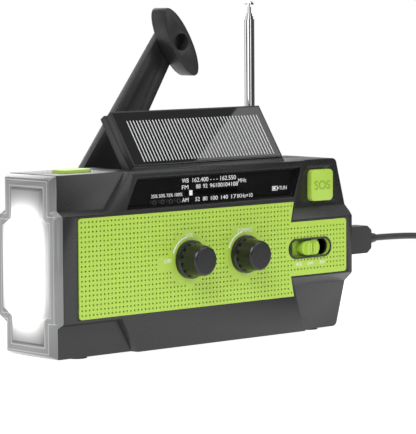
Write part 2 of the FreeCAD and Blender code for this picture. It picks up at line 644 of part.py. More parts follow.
slider_top = stadium("slider_top", "slot_x", "-0.9", "axis_height", "slider_length", "slider_high", "3.6")
slider_ribs = [box(f"slider_rib_{i}", f"slot_x + {x} - 0.9", "-2.1", "axis_height - slider_high / 2 + 0.5",
                   "1.8", "1.4", "slider_high - 1") for i, x in enumerate(("-2.2", "2.2"))]
keep("band_slider", join("band_slider", [slider_top] + slider_ribs + [
    box("slider_plate", "slot_x - 7", "2.68", "axis_height - 5", "14", "0.9", "10"),
    box("slider_stem", "slot_x - 1", "3.5", "axis_height - 1", "2", "2.6", "2")]))
keep("band_switch", cut("band_switch", box("band_switch_can", "slot_x - 9.5", "4.6", "axis_height - 4",
                                           "19", "board_y - 4.6", "8"),
                        [box("switch_groove", "slot_x - 7.2", "4", "axis_height - 1.2", "14.4", "2.8",
                             "2.4")]))


def push_outline(x, z, wide, high, extra):
    return frame(f"{x} - {wide} / 2 - {extra}", f"{z} - {high} / 2 - {extra}",
                 f"{x} + {wide} / 2 + {extra}", f"{z} + {high} / 2 + {extra}")


SOS_Y = "(wing_depth - 2.2)"
keep("sos_button", join("sos_button", [
    prism("sos_cap", "XZ", push_outline("sos_x", "sos_z", "sos_wide", "sos_high", "0"), SOS_Y,
          f"wing_depth + wall + 0.15 - {SOS_Y}", rounds=("2", [0, 1, 2, 3])),
    prism("sos_flange", "XZ", push_outline("(sos_x - 1)", "sos_z", "(sos_wide - 1.4)", "sos_high", "0.7"),
          "wing_depth + wall + 0.1", "0.9", rounds=("2", [0, 1, 2, 3]))]))
keep("light_button", join("light_button", [
    prism("light_cap", "XY", push_outline("light_x", "light_y", "light_long", "light_wide", "0"),
          f"{TOP} - wall - 1.2", "wall + 2.3", rounds=("3", [0, 1, 2, 3])),
    prism("light_flange", "XY", push_outline("light_x", "light_y", "light_long", "light_wide", "0.8"),
          f"{TOP} - wall - 1.2", "1.1", rounds=("3", [0, 1, 2, 3]))]))
keep("button_switches", join("button_switches", [
    box("sos_switch", "sos_x - 3", "wing_depth + wall + 3.3", "sos_z - 3", "6",
        "board_y - wing_depth - wall - 3.3", "6"),
    rod("sos_plunger", "y", "sos_x", "wing_depth + wall + 2.2", "sos_z", "1.5", "1.4"),
    box("light_switch", "light_x - 3", "light_y - 3", f"{TOP} - wall - 7.5", "6", "6", "4"),
    rod("light_plunger", "z", "light_x", "light_y", f"{TOP} - wall - 3.7", "1.5", "1.2"),
    box("light_switch_post", "light_x - 2", "light_y - 2", "56", "4", "4", f"{TOP} - wall - 7.5 - 56")]))

# ---------------------------------------------------------------- speaker, board, cell, aerial rod

keep("speaker_basket", cut("speaker_basket", cone(
    "basket_outside", "y", "speaker_x", "grille_sink + 1.4", "axis_height", "speaker_r",
    "speaker_r - 6", "7.4"), [cone("basket_inside", "y", "speaker_x", "grille_sink + 1.3", "axis_height",
                                   "speaker_r - 1", "speaker_r - 7", "6.6")]))
keep("speaker_cone", cut("speaker_cone", cone(
    "cone_outside", "y", "speaker_x", "3.4", "axis_height", "speaker_r - 2.6", "3.4", "5"), [
        cone("cone_inside", "y", "speaker_x", "3.3", "axis_height", "speaker_r - 3.2", "2.8", "4.8")]))
keep("speaker_magnet", rod("speaker_magnet", "y", "speaker_x", "grille_sink + 8.8", "axis_height",
                           "speaker_r - 7", "4.4"))
keep("main_board", prism("main_board", "XZ", [
    ("-22", "23"), ("66", "23"), ("66", "54"), ("68", "54"), ("68", "65"), ("57", "65"), ("57", "54"),
    ("-22", "54")], "board_y", "board_thick"))
keep("battery_cell", rod("battery_cell", "x", "cell_left", "body_depth - rear_step - wall - cell_r - 0.1",
                         f"{BASE} + wall + cell_r + 0.2", "cell_r", "cell_long"))
keep("ferrite_rod", rod("ferrite_rod", "x", "-22", "23", "24.6", "2.4", "62"))

# ---------------------------------------------------------------- crank generator gears

WHEEL, PINION = int(value("wheel_teeth")), int(value("pinion_teeth"))
GEAR_STEP = value("tooth_size * (wheel_teeth + pinion_teeth) / 2")
CRANK_X, CRANK_Z = value("crank_x"), value("crank_z")
drive_y, idler_y = value(f"{FRONT} + drive_y"), value(f"{FRONT} + idler_y")
gear_wide = value("gear_wide")
plate_y = value(f"{FRONT} + 19")

drive = gear(WHEEL, CRANK_X, drive_y, CRANK_Z, gear_wide, 0)
keep("drive_gear", solid_piece("drive_gear", drive.cut(
    cylinder(CRANK_X, drive_y - 1, CRANK_Z, value("crank_shaft_r + 0.02"), gear_wide + 2))))
idler_x = CRANK_X + GEAR_STEP
idler = gear(WHEEL, idler_x, idler_y, CRANK_Z, gear_wide, 0).fuse([
    gear(PINION, idler_x, idler_y + gear_wide, CRANK_Z, drive_y - idler_y, math.pi / PINION),
    cylinder(idler_x, plate_y, CRANK_Z, 1.0, value(f"{FRONT} + body_depth - wall - 1.2") - plate_y)])
keep("idler_gear", solid_piece("idler_gear", idler.removeSplitter()))
rotor_x = idler_x + GEAR_STEP
rotor = gear(PINION, rotor_x, idler_y - 0.4, CRANK_Z, gear_wide + 0.8, math.pi / PINION).fuse([
    cylinder(rotor_x, plate_y, CRANK_Z, 1.0, value(f"{FRONT} + body_depth - wall - 0.6") - plate_y),
    cylinder(rotor_x, value(f"{FRONT} + 28.6"), CRANK_Z, 6.4, 5.4)])
keep("generator_rotor", solid_piece("generator_rotor", rotor.removeSplitter()))
GEN_X = "(crank_x + tooth_size * (wheel_teeth + pinion_teeth))"
keep("generator_can", cut("generator_can", rod(
    "can_outside", "y", GEN_X, "27.4", "crank_z", "9.4", "body_depth - wall - 27.4"), [
        rod("can_inside", "y", GEN_X, "27", "crank_z", "8.8", "body_depth - wall - 28.2"),
        rod("can_bearing", "y", GEN_X, "27", "crank_z", "1 + run_gap", "body_depth")]))
keep("generator_coil", cut("generator_coil", rod("winding_outside", "y", GEN_X, "28.4", "crank_z", "8.75",
                                                 "5.8"), [
    rod("winding_inside", "y", GEN_X, "28", "crank_z", "6.8", "7")]))
bearing_plate = box("bearing_plate", "crank_x - 18", "19", "29", "68", "1.5", "31")
bearing_posts = [rod(f"plate_post_{i}", "y", x, "20", z, "1.9", "body_depth - wall - 20")
                 for i, (x, z) in enumerate([("crank_x - 16", "31.4"), ("crank_x + 47.5", "31.4"),
                                             ("crank_x - 16", "53")])]
keep("gear_plate", cut("gear_plate", join("gear_plate_blank", [bearing_plate] + bearing_posts), [
    rod("plate_bore_crank", "y", "crank_x", "18", "crank_z", "crank_shaft_r + run_gap", "4"),
    rod("plate_bore_idler", "y", f"({GEN_X} + crank_x) / 2", "18", "crank_z", "1 + run_gap", "4"),
    rod("plate_bore_rotor", "y", GEN_X, "18", "crank_z", "1 + run_gap", "4")]))

# ---------------------------------------------------------------- crank
# Drawn in the crank's own frame: its shaft along Y through the origin and its arm along +Z.

shift_y = "0"
DISC_TOP = f"({PIN_Y} - barrel_r - 0.4)"
DISC_LOW = "(body_depth + crank_gap)"


def seat_crank(item, along="0", turn="crank_angle"):
    """Set a finished piece of the crank at its place, along the arm from the shaft."""
    item.Placement = Placement(Vector(), Rotation(Vector(0, 1, 0), value(turn)))
    bind(item, **{"Placement.Rotation.Angle": turn})
    item.setExpression("Placement.Base.x", linked(f"crank_x + {along} * sin(crank_angle)"))
    item.setExpression("Placement.Base.y", linked(FRONT))
    item.setExpression("Placement.Base.z", linked(f"crank_z + {along} * cos(crank_angle)"))
    return item


hub_solid = join("hub_solid", [
    rod("hub_disc", "y", "0", DISC_LOW, "0", "hub_r", f"{DISC_TOP} - {DISC_LOW}"),
    rod("hub_neck", "y", "0", "drive_y + gear_wide + 1", "0", "crank_shaft_r + 1",
        f"{DISC_LOW} - drive_y - gear_wide"),
    rod("hub_shaft", "y", "0", "19", "0", "crank_shaft_r", f"{DISC_LOW} - 18"),
    box("hub_lug", "-lug_wide / 2", f"{DISC_TOP} - 1", "-barrel_r", "lug_wide",
        f"{PIN_Y} - {DISC_TOP} + 1", "2 * barrel_r"),
    rod("hub_lug_round", "x", "-lug_wide / 2", PIN_Y, "0", "barrel_r", "lug_wide")])
keep("crank_hub", seat_crank(cut("crank_hub", hub_solid, [
    rod("lug_bore", "x", "-lug_wide", PIN_Y, "0", "crank_pin_r + 0.01", "2 * lug_wide")])))
keep("crank_hinge_pin", seat_crank(join("crank_hinge_pin", [
    rod("hinge_pin_rod", "x", "-arm_root / 2 + 0.4", PIN_Y, "0", "crank_pin_r", "arm_root / 2"),
    rod("hinge_pin_rest", "x", "-0.5", PIN_Y, "0", "crank_pin_r", "arm_root / 2")])))
arm_blade = prism("arm_blade", "XZ", [
    ("-arm_root / 2", "0"), ("arm_root / 2", "0"), ("arm_tip / 2", "crank_reach"),
    ("-arm_tip / 2", "crank_reach")], f"{PIN_Y} - arm_thick / 2", "arm_thick")
arm_solid = join("arm_solid", [
    arm_blade,
    rod("arm_end", "y", "0", f"{PIN_Y} - arm_thick / 2", "crank_reach", "arm_tip / 2", "arm_thick"),
    rod("arm_barrel", "x", "-arm_root / 2", PIN_Y, "0", "barrel_r", "arm_root")])
keep("crank_arm", seat_crank(cut("crank_arm", arm_solid, [
    box("arm_slot", "-lug_wide / 2 - 0.25", f"{PIN_Y} - 10", "-10", "lug_wide + 0.5", "20",
        "barrel_r + 10.6"),
    rod("arm_pin_bore", "x", "-arm_root", PIN_Y, "0", "crank_pin_r + run_gap", "2 * arm_root"),
    rod("arm_stud_bore", "y", "0", f"{PIN_Y} - 10", "crank_reach", "2", "20")])))
oval = doc.addObject("Part::Ellipse", "knob_oval")
bind(oval, MajorRadius="knob_half_long", MinorRadius="knob_half_wide")
oval.Placement = Placement(Vector(), Rotation(Vector(1, 1, 1), -120))
place(oval, "0", DISC_LOW, "0")
knob_block = doc.addObject("Part::Extrusion", "knob_block")
knob_block.Base = oval
knob_block.Dir = Vector(0, 1, 0)
knob_block.Solid = True
bind(knob_block, LengthFwd="crank_knob_thick")
keep("crank_knob", seat_crank(cut("crank_knob", knob_block, [
    rod("knob_well", "y", "0", f"{DISC_LOW} - 1", "0", "knob_hole_r", "crank_knob_thick - 2"),
    rod("knob_bore", "y", "0", f"{DISC_LOW} - 1", "0", "2 + run_gap", "20")]),
    "crank_reach", "(crank_angle - knob_lean)"))
keep("knob_stud", seat_crank(join("knob_stud", [
    rod("stud_head", "y", "0", f"{DISC_LOW} + crank_knob_thick - 4.4", "0", "3.1", "1.3"),
    rod("stud_shank", "y", "0", f"{DISC_LOW} + crank_knob_thick - 4", "0", "1.99",
        "4 + arm_gap + arm_thick")]), "crank_reach"))

# ---------------------------------------------------------------- solar panel
# Drawn lying flat in its own frame: the hinge along X through the origin, the cell facing +Z.

HALF_T = "(panel_thick / 2)"


def seat_panel(item):
    """Set a finished piece of the panel on its hinge, raised to its angle."""
    item.Placement = Placement(Vector(), Rotation(Vector(1, 0, 0), value("panel_angle")))
    bind(item, **{"Placement.Rotation.Angle": "panel_angle"})
    item.setExpression("Placement.Base.x", linked("panel_x"))
    item.setExpression("Placement.Base.y", linked(f"{FRONT} + panel_axis_y"))
    item.setExpression("Placement.Base.z", linked("panel_axis_z"))
    return item




def wrap(name, *block):
    """A plain block that a moving group can carry: the block keeps its own place within the group."""
    bundle = doc.addObject("Part::Compound", name)
    bundle.Links = [box(name + "_block", *block)]
    return bundle


back_solid = join("panel_back_solid", [
    rod("panel_barrel", "x", "-panel_long / 2", "0", "0", HALF_T, "panel_long"),
    box("panel_back_plate", "-panel_long / 2", "0", f"-{HALF_T}", "panel_long", "panel_reach", HALF_T),
    box("panel_lip", "-panel_long / 2", "panel_reach - 1", f"-{HALF_T}", "panel_long", "1.9",
        f"{HALF_T} - 0.8")])
keep("panel_back", seat_panel(cut("panel_back", back_solid, [
    box("panel_frame_room", "-panel_long / 2 - 1", "1.3", "0", "panel_long + 2", "panel_reach", HALF_T),
    rod("panel_bore", "x", "-panel_long", "0", "0", "panel_pin_r + run_gap", "2 * panel_long")])))
keep("panel_frame", seat_panel(cut("panel_frame", box(
    "panel_frame_block", "-panel_long / 2", "1.35", "0.02", "panel_long", "panel_reach - 1.35",
    f"{HALF_T} - 0.02"), [
        box("glass_room", "-panel_long / 2 + 0.7", "2.05", f"{HALF_T} - 1.7", "panel_long - 1.4",
            "panel_reach - 2.75", "3")])))
keep("solar_cell", seat_panel(wrap("solar_cell", "-panel_long / 2 + 1.2", "2.5", f"{HALF_T} - 1.7",
                                  "panel_long - 2.4", "panel_reach - 3.7", "0.5")))
keep("panel_glass", seat_panel(wrap("panel_glass", "-panel_long / 2 + 0.75", "2.1", f"{HALF_T} - 1.18",
                                   "panel_long - 1.5", "panel_reach - 2.85", "1.15")))
shift_y = FRONT
keep("panel_pins", join("panel_pins", [
    rod("panel_pin_left", "x", f"{TRAY_LEFT} - 2.9", "panel_axis_y", "panel_axis_z", "panel_pin_r", "7.4"),
    rod("panel_pin_right", "x", f"{TRAY_LEFT} + panel_long + 2 * tray_gap - 4.5", "panel_axis_y",
        "panel_axis_z", "panel_pin_r", "7.4")]))

# ---------------------------------------------------------------- telescopic antenna

keep("antenna_base", cut("antenna_base", join("antenna_base_blank", [
    rod("base_stem", "z", "mast_x", "mast_y", "step_high - 8", "2.4", "8"),
    rod("base_disc", "z", "mast_x", "mast_y", "step_high - 1.7", "mast_r + 1.2", "2"),
    overlap("base_cheek_front", box("cheek_front_box", "mast_x - mast_r", "mast_y - 2.5", "step_high - 1",
                                    "2 * mast_r", "1.3", "10"),
            rod("cheek_front_round", "y", "mast_x", "mast_y - 4", "mast_pivot_z - 4.4", "6.6", "8")),
    overlap("base_cheek_rear", box("cheek_rear_box", "mast_x - mast_r", "mast_y + 1.2", "step_high - 1",
                                   "2 * mast_r", "1.3", "10"),
            rod("cheek_rear_round", "y", "mast_x", "mast_y - 4", "mast_pivot_z - 4.4", "6.6", "8"))]), [
    rod("base_pin_bore", "y", "mast_x", "mast_y - 5", "mast_pivot_z", "0.81", "10")]))
keep("antenna_pin", rod("antenna_pin", "y", "mast_x", "mast_y - 2.45", "mast_pivot_z", "0.8", "4.9"))
tube_r = ["mast_r", "(mast_r - mast_wall - 0.1)", "(mast_r - 2 * mast_wall - 0.2)"]


def mast_tube(name, radius, low, high):
    outside = rod(name + "_outside", "z", "mast_x", "mast_y", low, radius, f"{high} - {low}")
    return outside, rod(name + "_inside", "z", "mast_x", "mast_y", f"{low} + 1.5",
                        f"{radius} - mast_wall", f"{high} - {low}")


outside, inside = mast_tube("mast_1", tube_r[0], "(mast_pivot_z + 4)", "mast_top")
tongue = overlap("mast_tongue", box("tongue_box", "mast_x - mast_r", "mast_y - 1.12", "mast_pivot_z - 3",
                                    "2 * mast_r", "2.24", "8"),
                 rod("tongue_round", "z", "mast_x", "mast_y", "mast_pivot_z - 1.9", "mast_r", "8"))
keep("antenna_tube_1", cut("antenna_tube_1", join("mast_1_blank", [outside, tongue]), [
    inside, rod("tongue_bore", "y", "mast_x", "mast_y - 5", "mast_pivot_z", "0.8 + run_gap", "10")]))
for number, radius, low, high in ((2, tube_r[1], "(mast_pivot_z + 7)", "(mast_top + 1.3)"),
                                  (3, tube_r[2], "(mast_pivot_z + 9)", "(mast_top + 2.5)")):
    outside, inside = mast_tube(f"mast_{number}", radius, low, high)
    keep(f"antenna_tube_{number}", cut(f"antenna_tube_{number}", outside, [inside]))
TIP_R = "(mast_r - 3 * mast_wall - 0.3)"
keep("antenna_tip", join("antenna_tip", [
    rod("tip_rod", "z", "mast_x", "mast_y", "mast_pivot_z + 11", TIP_R, "mast_top - mast_pivot_z - 5"),
    cone("tip_foot", "z", "mast_x", "mast_y", "mast_top + 5.2", TIP_R, "mast_r - 0.3", "0.9"),
    rod("tip_head", "z", "mast_x", "mast_y", "mast_top + 6.1", "mast_r - 0.3", "0.7"),
    cone("tip_crown", "z", "mast_x", "mast_y", "mast_top + 6.8", "mast_r - 0.3", "mast_r - 1.2", "0.8")]))

# ---------------------------------------------------------------- torch end


def end_loft(name, x_1, inset_1, x_2, inset_2):
    """A block between two stepped outlines, square to X."""
    sketches = []
    for x, inset in ((x_1, inset_1), (x_2, inset_2)):
        sketch = doc.addObject("Sketcher::SketchObject", name + "_outline")
        sketch.Placement = Placement(Vector(), Rotation(Vector(1, 1, 1), 120))
        draw(sketch, end_outline(inset))
        place(sketch, x, "0", "0")
        sketches.append(sketch)
    loft = doc.addObject("Part::Loft", name)
    loft.Sections = sketches
    loft.Solid = True
    loft.Ruled = True
    return loft


END = "(-overall_length / 2)"
keep("torch_bezel", cut("torch_bezel", end_loft("bezel_outside", LEFT, "0", f"{END} + 0.6", "1.5"), [
    end_loft("bezel_inside", f"{LEFT} + 1", "5.2", f"{END} - 1", "5.2")]))
keep("torch_lens", end_loft("torch_lens", f"{END} + 1.7", "5.3", END, "6.1"))
CUP_Z = ["axis_height - 14.5", "axis_height", "axis_height + 14.5"]
CUP_Y = "(body_depth / 2)"
reflector_block = end_loft("reflector_block", f"{LEFT} + 3.9", "5.9", f"{END} + 2", "5.9")
cups = [cone(f"cup_{i}", "x", f"{END} + 1.9", CUP_Y, z, "7", "2.6", "5.8") for i, z in enumerate(CUP_Z)]
cup_holes = [rod(f"cup_hole_{i}", "x", f"{END}", CUP_Y, z, "2.6", "20") for i, z in enumerate(CUP_Z)]
keep("reflector", cut("reflector", reflector_block, cups + cup_holes))
keep("led_board", box("led_board", f"{LEFT} + 4", f"{CUP_Y} - 7", "axis_height - 22", "1.4", "14", "44"))
keep("torch_leds", join("torch_leds", [
    item for i, z in enumerate(CUP_Z) for item in (
        rod(f"torch_led_{i}", "x", f"{LEFT} + 2.4", CUP_Y, z, "2.3", "1.6"),
        cone(f"torch_dome_{i}", "x", f"{LEFT} + 1.2", CUP_Y, z, "1", "1.9", "1.2"))]))

# ---------------------------------------------------------------- charging port and lead

keep("usb_socket", cut("usb_socket", box("socket_can", f"{RIGHT} - 8", "port_y - 1.7", "axis_height - 4",
                                         "7.6", "3.4", "8"), [
    box("socket_mouth", f"{RIGHT} - 6.6", "port_y - 1.1", "axis_height - 3.5", "8", "2.2", "7")]))
keep("plug_shell", box("plug_shell", f"{RIGHT} - 6.2", "port_y - 1", "axis_height - 3.4", "6.45",
                       "2", "6.8"))
plug_body = prism("plug_body", "XZ", [
    (f"{RIGHT} + 0.25", "axis_height - plug_high / 2"),
    (f"{RIGHT} + plug_long - 2.5", "axis_height - plug_high / 2"),
    (f"{RIGHT} + plug_long", "axis_height - plug_high / 2 + 2"),
    (f"{RIGHT} + plug_long", "axis_height + plug_high / 2 - 2"),
    (f"{RIGHT} + plug_long - 2.5", "axis_height + plug_high / 2"),
    (f"{RIGHT} + 0.25", "axis_height + plug_high / 2")], "port_y - plug_thick / 2", "plug_thick",
    rounds=("1.2", [1, 2, 3, 4]))
RELIEF = 5.0
keep("lead_plug", join("lead_plug", [plug_body, cone(
    "plug_relief", "x", f"{RIGHT} + plug_long - 0.5", "port_y", "axis_height", "2.9", "lead_r + 0.5",
    f"{RELIEF} + 0.5")]))

# The lead leaves the plug level, drops to the ground beyond the radio and is put away in a coil.
# Each point is set by hand, as (X, Y, Z) with Y in the radio's own frame, centred on its depth.
ROUTE = [
    (104.5, -9.35, 35.0), (124.0, -9.35, 34.9), (146.0, -9.2, 32.5), (160.0, -9.5, 20.0),
    (173.0, -9.9, 7.5), (189.0, -9.9, 1.4), (206.0, -9.7, 1.35),
]
COIL_RADIUS = 20.2
COIL_LAYERS = 2
COIL_TURNS = 7


def lead_path(points):
    """Straight runs joined by arcs, each as large as 0.45 of its shorter run allows."""
    spots = [Vector(*point) for point in points]
    edges, start = [], spots[0]
    for before, corner, after in zip(spots, spots[1:], spots[2:]):
        inward, outward = (corner - before).normalize(), (after - corner).normalize()
        reach = 0.45 * min((corner - before).Length, (after - corner).Length)
        half_turn = inward.getAngle(outward) / 2
        radius = reach / math.tan(half_turn)
        print(f"lead: turn {math.degrees(2 * half_turn):.1f} degrees, radius {radius:.1f} mm")
        first, last = corner - inward * reach, corner + outward * reach
        towards = (outward - inward).normalize()
        middle = corner + towards * (radius / math.cos(half_turn) - radius)
        edges += [Part.LineSegment(start, first).toShape(), Part.Arc(first, middle, last).toShape()]
        start = last
    return Part.Wire(edges + [Part.LineSegment(start, spots[-1]).toShape()])


path = lead_path(ROUTE)
section = Part.Wire(Part.makeCircle(value("lead_r"), Vector(*ROUTE[0]),
                                    Vector(*ROUTE[1]) - Vector(*ROUTE[0])))
lead_tube = path.makePipeShell([section], True, False)
print(f"lead: run {path.Length:.1f} mm, volume over section x length "
      f"{lead_tube.Volume / (math.pi * value('lead_r') ** 2 * path.Length):.4f}")
keep("lead_tube", solid_piece("lead_tube", lead_tube))

lead_r = value("lead_r")
coil_x, coil_y = ROUTE[-1][0], ROUTE[-1][1] - COIL_RADIUS
coil_span = COIL_TURNS / COIL_LAYERS * 2 * lead_r
coil_high = 2 * lead_r * COIL_LAYERS
coil_length = 2 * math.pi * COIL_TURNS * (COIL_RADIUS - coil_span / 2)
print(f"lead: coil {coil_length:.0f} mm, outside diameter {2 * (COIL_RADIUS + lead_r):.1f} mm")
upright = Vector(0, 0, 1)
coil_centre = Vector(coil_x, coil_y, 0)
coil_ring = Part.makeCylinder(COIL_RADIUS + lead_r, coil_high, coil_centre, upright).cut(
    Part.makeCylinder(COIL_RADIUS - coil_span - lead_r, coil_high, coil_centre, upright))
keep("lead_coil", solid_piece("lead_coil", coil_ring))

FAR_PLUG = {"relief_start": 7.0, "relief": 12.0, "long": 22.0, "wide": 16.0, "high": 8.0,
            "shell_long": 18.5, "shell_wide": 12.0, "shell_high": 4.5}
far_z = coil_high - lead_r
far_start = coil_x + FAR_PLUG["relief_start"]
far_body = far_start + FAR_PLUG["relief"]
relief = Part.makeCone(lead_r + 0.5, 3.4, FAR_PLUG["relief"] + 0.5,
                       Vector(far_start, ROUTE[-1][1], far_z), Vector(1, 0, 0))
grip = Part.makeBox(FAR_PLUG["long"], FAR_PLUG["wide"], FAR_PLUG["high"], Vector(
    far_body, ROUTE[-1][1] - FAR_PLUG["wide"] / 2, far_z - FAR_PLUG["high"] / 2))
grip = grip.makeFillet(2.0, [edge for edge in grip.Edges if edge.tangentAt(0).isEqual(upright, 1e-6)
                             or edge.tangentAt(0).isEqual(-upright, 1e-6)])
keep("far_plug", solid_piece("far_plug", grip.fuse(relief).removeSplitter()))
keep("far_plug_shell", solid_piece("far_plug_shell", Part.makeBox(
    FAR_PLUG["shell_long"], FAR_PLUG["shell_wide"], FAR_PLUG["shell_high"], Vector(
        far_body + FAR_PLUG["long"], ROUTE[-1][1] - FAR_PLUG["shell_wide"] / 2,
        far_z - FAR_PLUG["shell_high"] / 2))))

# ---------------------------------------------------------------- checks and export

doc.recompute()
faults = [item.Name for item in doc.Objects if {"Invalid", "Error"} & set(item.State)]
for name, item in parts.items():
    shape = item.Shape
    if shape.isNull() or not shape.isValid() or not shape.Solids:
        faults.append(name)
if faults:
    raise RuntimeError(f"these objects failed: {faults}")
os.makedirs("parts", exist_ok=True)
for name, item in parts.items():
    item.Shape.exportStep(f"parts/{name}.step")
print(len(parts), "pieces")
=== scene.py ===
import json
import math
import bpy
from mathutils import Euler, Matrix, Vector


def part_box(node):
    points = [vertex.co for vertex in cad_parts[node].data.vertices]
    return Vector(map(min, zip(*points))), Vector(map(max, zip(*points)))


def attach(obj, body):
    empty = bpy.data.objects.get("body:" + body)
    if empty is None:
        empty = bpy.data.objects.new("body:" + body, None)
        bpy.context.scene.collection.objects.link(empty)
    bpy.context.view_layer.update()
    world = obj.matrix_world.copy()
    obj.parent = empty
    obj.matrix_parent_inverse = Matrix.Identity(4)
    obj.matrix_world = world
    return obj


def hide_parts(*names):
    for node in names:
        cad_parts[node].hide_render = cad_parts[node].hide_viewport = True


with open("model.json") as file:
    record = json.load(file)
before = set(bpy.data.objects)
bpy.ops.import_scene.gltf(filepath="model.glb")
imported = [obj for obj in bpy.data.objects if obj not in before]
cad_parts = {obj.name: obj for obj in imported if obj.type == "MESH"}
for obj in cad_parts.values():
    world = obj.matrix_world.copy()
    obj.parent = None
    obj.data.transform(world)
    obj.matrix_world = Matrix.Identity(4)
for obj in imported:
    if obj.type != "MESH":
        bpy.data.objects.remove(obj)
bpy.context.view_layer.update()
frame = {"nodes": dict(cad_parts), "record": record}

mm = 0.001
nodes = frame["nodes"]
print("frame loaded:", len(nodes), "nodes")


def mathNode(tree, operation, first, second=None, clamp=False):
    node = tree.nodes.new("ShaderNodeMath")
    node.operation = operation
    node.use_clamp = clamp
    for index, value in enumerate((first, second)):
        if value is None:
            continue
        if isinstance(value, (int, float)):
            node.inputs[index].default_value = value
        else:
            tree.links.new(value, node.inputs[index])
    return node.outputs[0]


# Camera, floor and lights

view = {"place": (-0.6942, -0.7856, 0.1376), "azimuth": 42.18, "elevation": 4.80, "roll": -0.37,
        "lens": 217.4, "sensor": 36.0}
stage = {"floor": (0.25, 0.25, 0.25), "floorGlow": 0.98, "floorSize": 0.6,
         "floorAt": (0.06, -0.02, -0.0001), "backdrop": 1.0, "sky": 0.42, "darkSide": 0.06,
         "darkUpTo": 0.35, "skyFrom": 0.75,
         "glints": [((-0.95, -0.3, 0.02), 30, 2.0), ((-0.25, -0.97, 0.02), 160, 2.4),
                    ((-0.62, 0.78, 0.02), 60, 1.2)]}
lights = {
    "keyLight": {"place": (-0.75, -0.55, 0.85), "size": 0.6, "power": 6.5},
    "fillLight": {"place": (0.55, -0.95, 0.55), "size": 0.6, "power": 2.6},
    "topLight": {"place": (0.05, 0.25, 1.1), "size": 0.9, "power": 4.5},
    "backLight": {"place": (0.4, 0.9, 0.6), "size": 0.8, "power": 4.0},
}


def makeCamera():
    data = bpy.data.cameras.new("camera")
    data.lens = view["lens"]
    data.sensor_width = view["sensor"]
    data.clip_start = 0.01
    camera = bpy.data.objects.new("camera", data)
    bpy.context.scene.collection.objects.link(camera)
    aim = Euler((math.radians(90 - view["elevation"]), 0, -math.radians(view["azimuth"])))
    turn = aim.to_matrix() @ Matrix.Rotation(math.radians(view["roll"]), 3, "Z")
    camera.matrix_world = Matrix.Translation(view["place"]) @ turn.to_4x4()
    bpy.context.scene.camera = camera


def makeWorld():
    # a white backdrop, and a studio that is dark low down and in front, with a few bright panels
    # for metal to reflect
    world = bpy.data.worlds.new("studio")
    world.use_nodes = True
    tree = world.node_tree
    sky = tree.nodes["Background"]
    place = tree.nodes.new("ShaderNodeTexCoord")
    split = tree.nodes.new("ShaderNodeSeparateXYZ")
    band = tree.nodes.new("ShaderNodeValToRGB")
    band.color_ramp.elements[0].position = stage["darkUpTo"]
    band.color_ramp.elements[0].color = (*[stage["darkSide"]] * 3, 1)
    band.color_ramp.elements[1].position = stage["skyFrom"]
    band.color_ramp.elements[1].color = (*[stage["sky"]] * 3, 1)
    path = tree.nodes.new("ShaderNodeLightPath")
    mix = tree.nodes.new("ShaderNodeMixShader")
    backdrop = tree.nodes.new("ShaderNodeBackground")
    backdrop.inputs["Strength"].default_value = stage["backdrop"]
    backdrop.inputs["Color"].default_value = (1, 1, 1, 1)
    link = tree.links.new
    link(place.outputs["Generated"], split.inputs[0])
    side = mathNode(tree, "MULTIPLY", mathNode(tree, "ADD", split.outputs["Y"], split.outputs["Z"]), 0.5)
    link(mathNode(tree, "ADD", side, 0.5), band.inputs["Fac"])
    glow = band.outputs["Color"]
    for aim, sharp, bright in stage["glints"]:
        facing = tree.nodes.new("ShaderNodeVectorMath")
        facing.operation = "DOT_PRODUCT"
        facing.inputs[1].default_value = Vector(aim).normalized()
        link(place.outputs["Generated"], facing.inputs[0])
        spot = mathNode(tree, "POWER", mathNode(tree, "MAXIMUM", facing.outputs["Value"], 0.0), sharp)
        glow = mathNode(tree, "ADD", glow, mathNode(tree, "MULTIPLY", spot, bright))
    sky.inputs["Color"].default_value = (1, 1, 1, 1)
    link(glow, sky.inputs["Strength"])
    link(path.outputs["Is Camera Ray"], mix.inputs["Fac"])
    link(sky.outputs["Background"], mix.inputs[1])
    link(backdrop.outputs["Background"], mix.inputs[2])
    link(mix.outputs["Shader"], tree.nodes["World Output"].inputs["Surface"])
    bpy.context.scene.world = world


def makeStage():
    bpy.ops.mesh.primitive_plane_add(size=stage["floorSize"], location=stage["floorAt"])
    floor = bpy.context.object
    floor.name = "floor"
    paint = bpy.data.materials.new("floorPaint")
    paint.use_nodes = True
    shader = paint.node_tree.nodes["Principled BSDF"]
    shader.inputs["Base Color"].default_value = (*stage["floor"], 1)
    shader.inputs["Roughness"].default_value = 0.6
    shader.inputs["Emission Color"].default_value = (1, 1, 1, 1)
    shader.inputs["Emission Strength"].default_value = stage["floorGlow"]
    floor.data.materials.append(paint)
    makeWorld()
    for name, lamp in lights.items():
        data = bpy.data.lights.new(name, "AREA")
        data.size = lamp["size"]
        data.energy = lamp["power"]
        light = bpy.data.objects.new(name, data)
        bpy.context.scene.collection.objects.link(light)
        light.location = lamp["place"]
        light.rotation_euler = (Vector((0, 0, 0.05)) - light.location).to_track_quat("-Z", "Y").to_euler()


makeCamera()
makeStage()
bpy.context.scene.view_settings.view_transform = "Standard"
bpy.context.scene.view_settings.look = "None"
print("stage and camera made")


# Shared effects: moulded plastic grain, and the fine lines drawn along polished metal

grainMarks = {"fineDetail": 3, "broadScale": 38, "broadDetail": 4, "bumpHigh": 0.00006}
polishMarks = {"scale": 2600, "detail": 2, "spread": 0.12, "bumpHigh": 0.00003}


def newGroup(name, inputs, outputs):
    group = bpy.data.node_groups.new(name, "ShaderNodeTree")
    for label, kind, value in inputs:
        entry = group.interface.new_socket(label, in_out="INPUT", socket_type=kind)
        entry.default_value = value
    for label, kind in outputs:
        group.interface.new_socket(label, in_out="OUTPUT", socket_type=kind)
    start = group.nodes.new("NodeGroupInput")
    end = group.nodes.new("NodeGroupOutput")
    return group, start, end


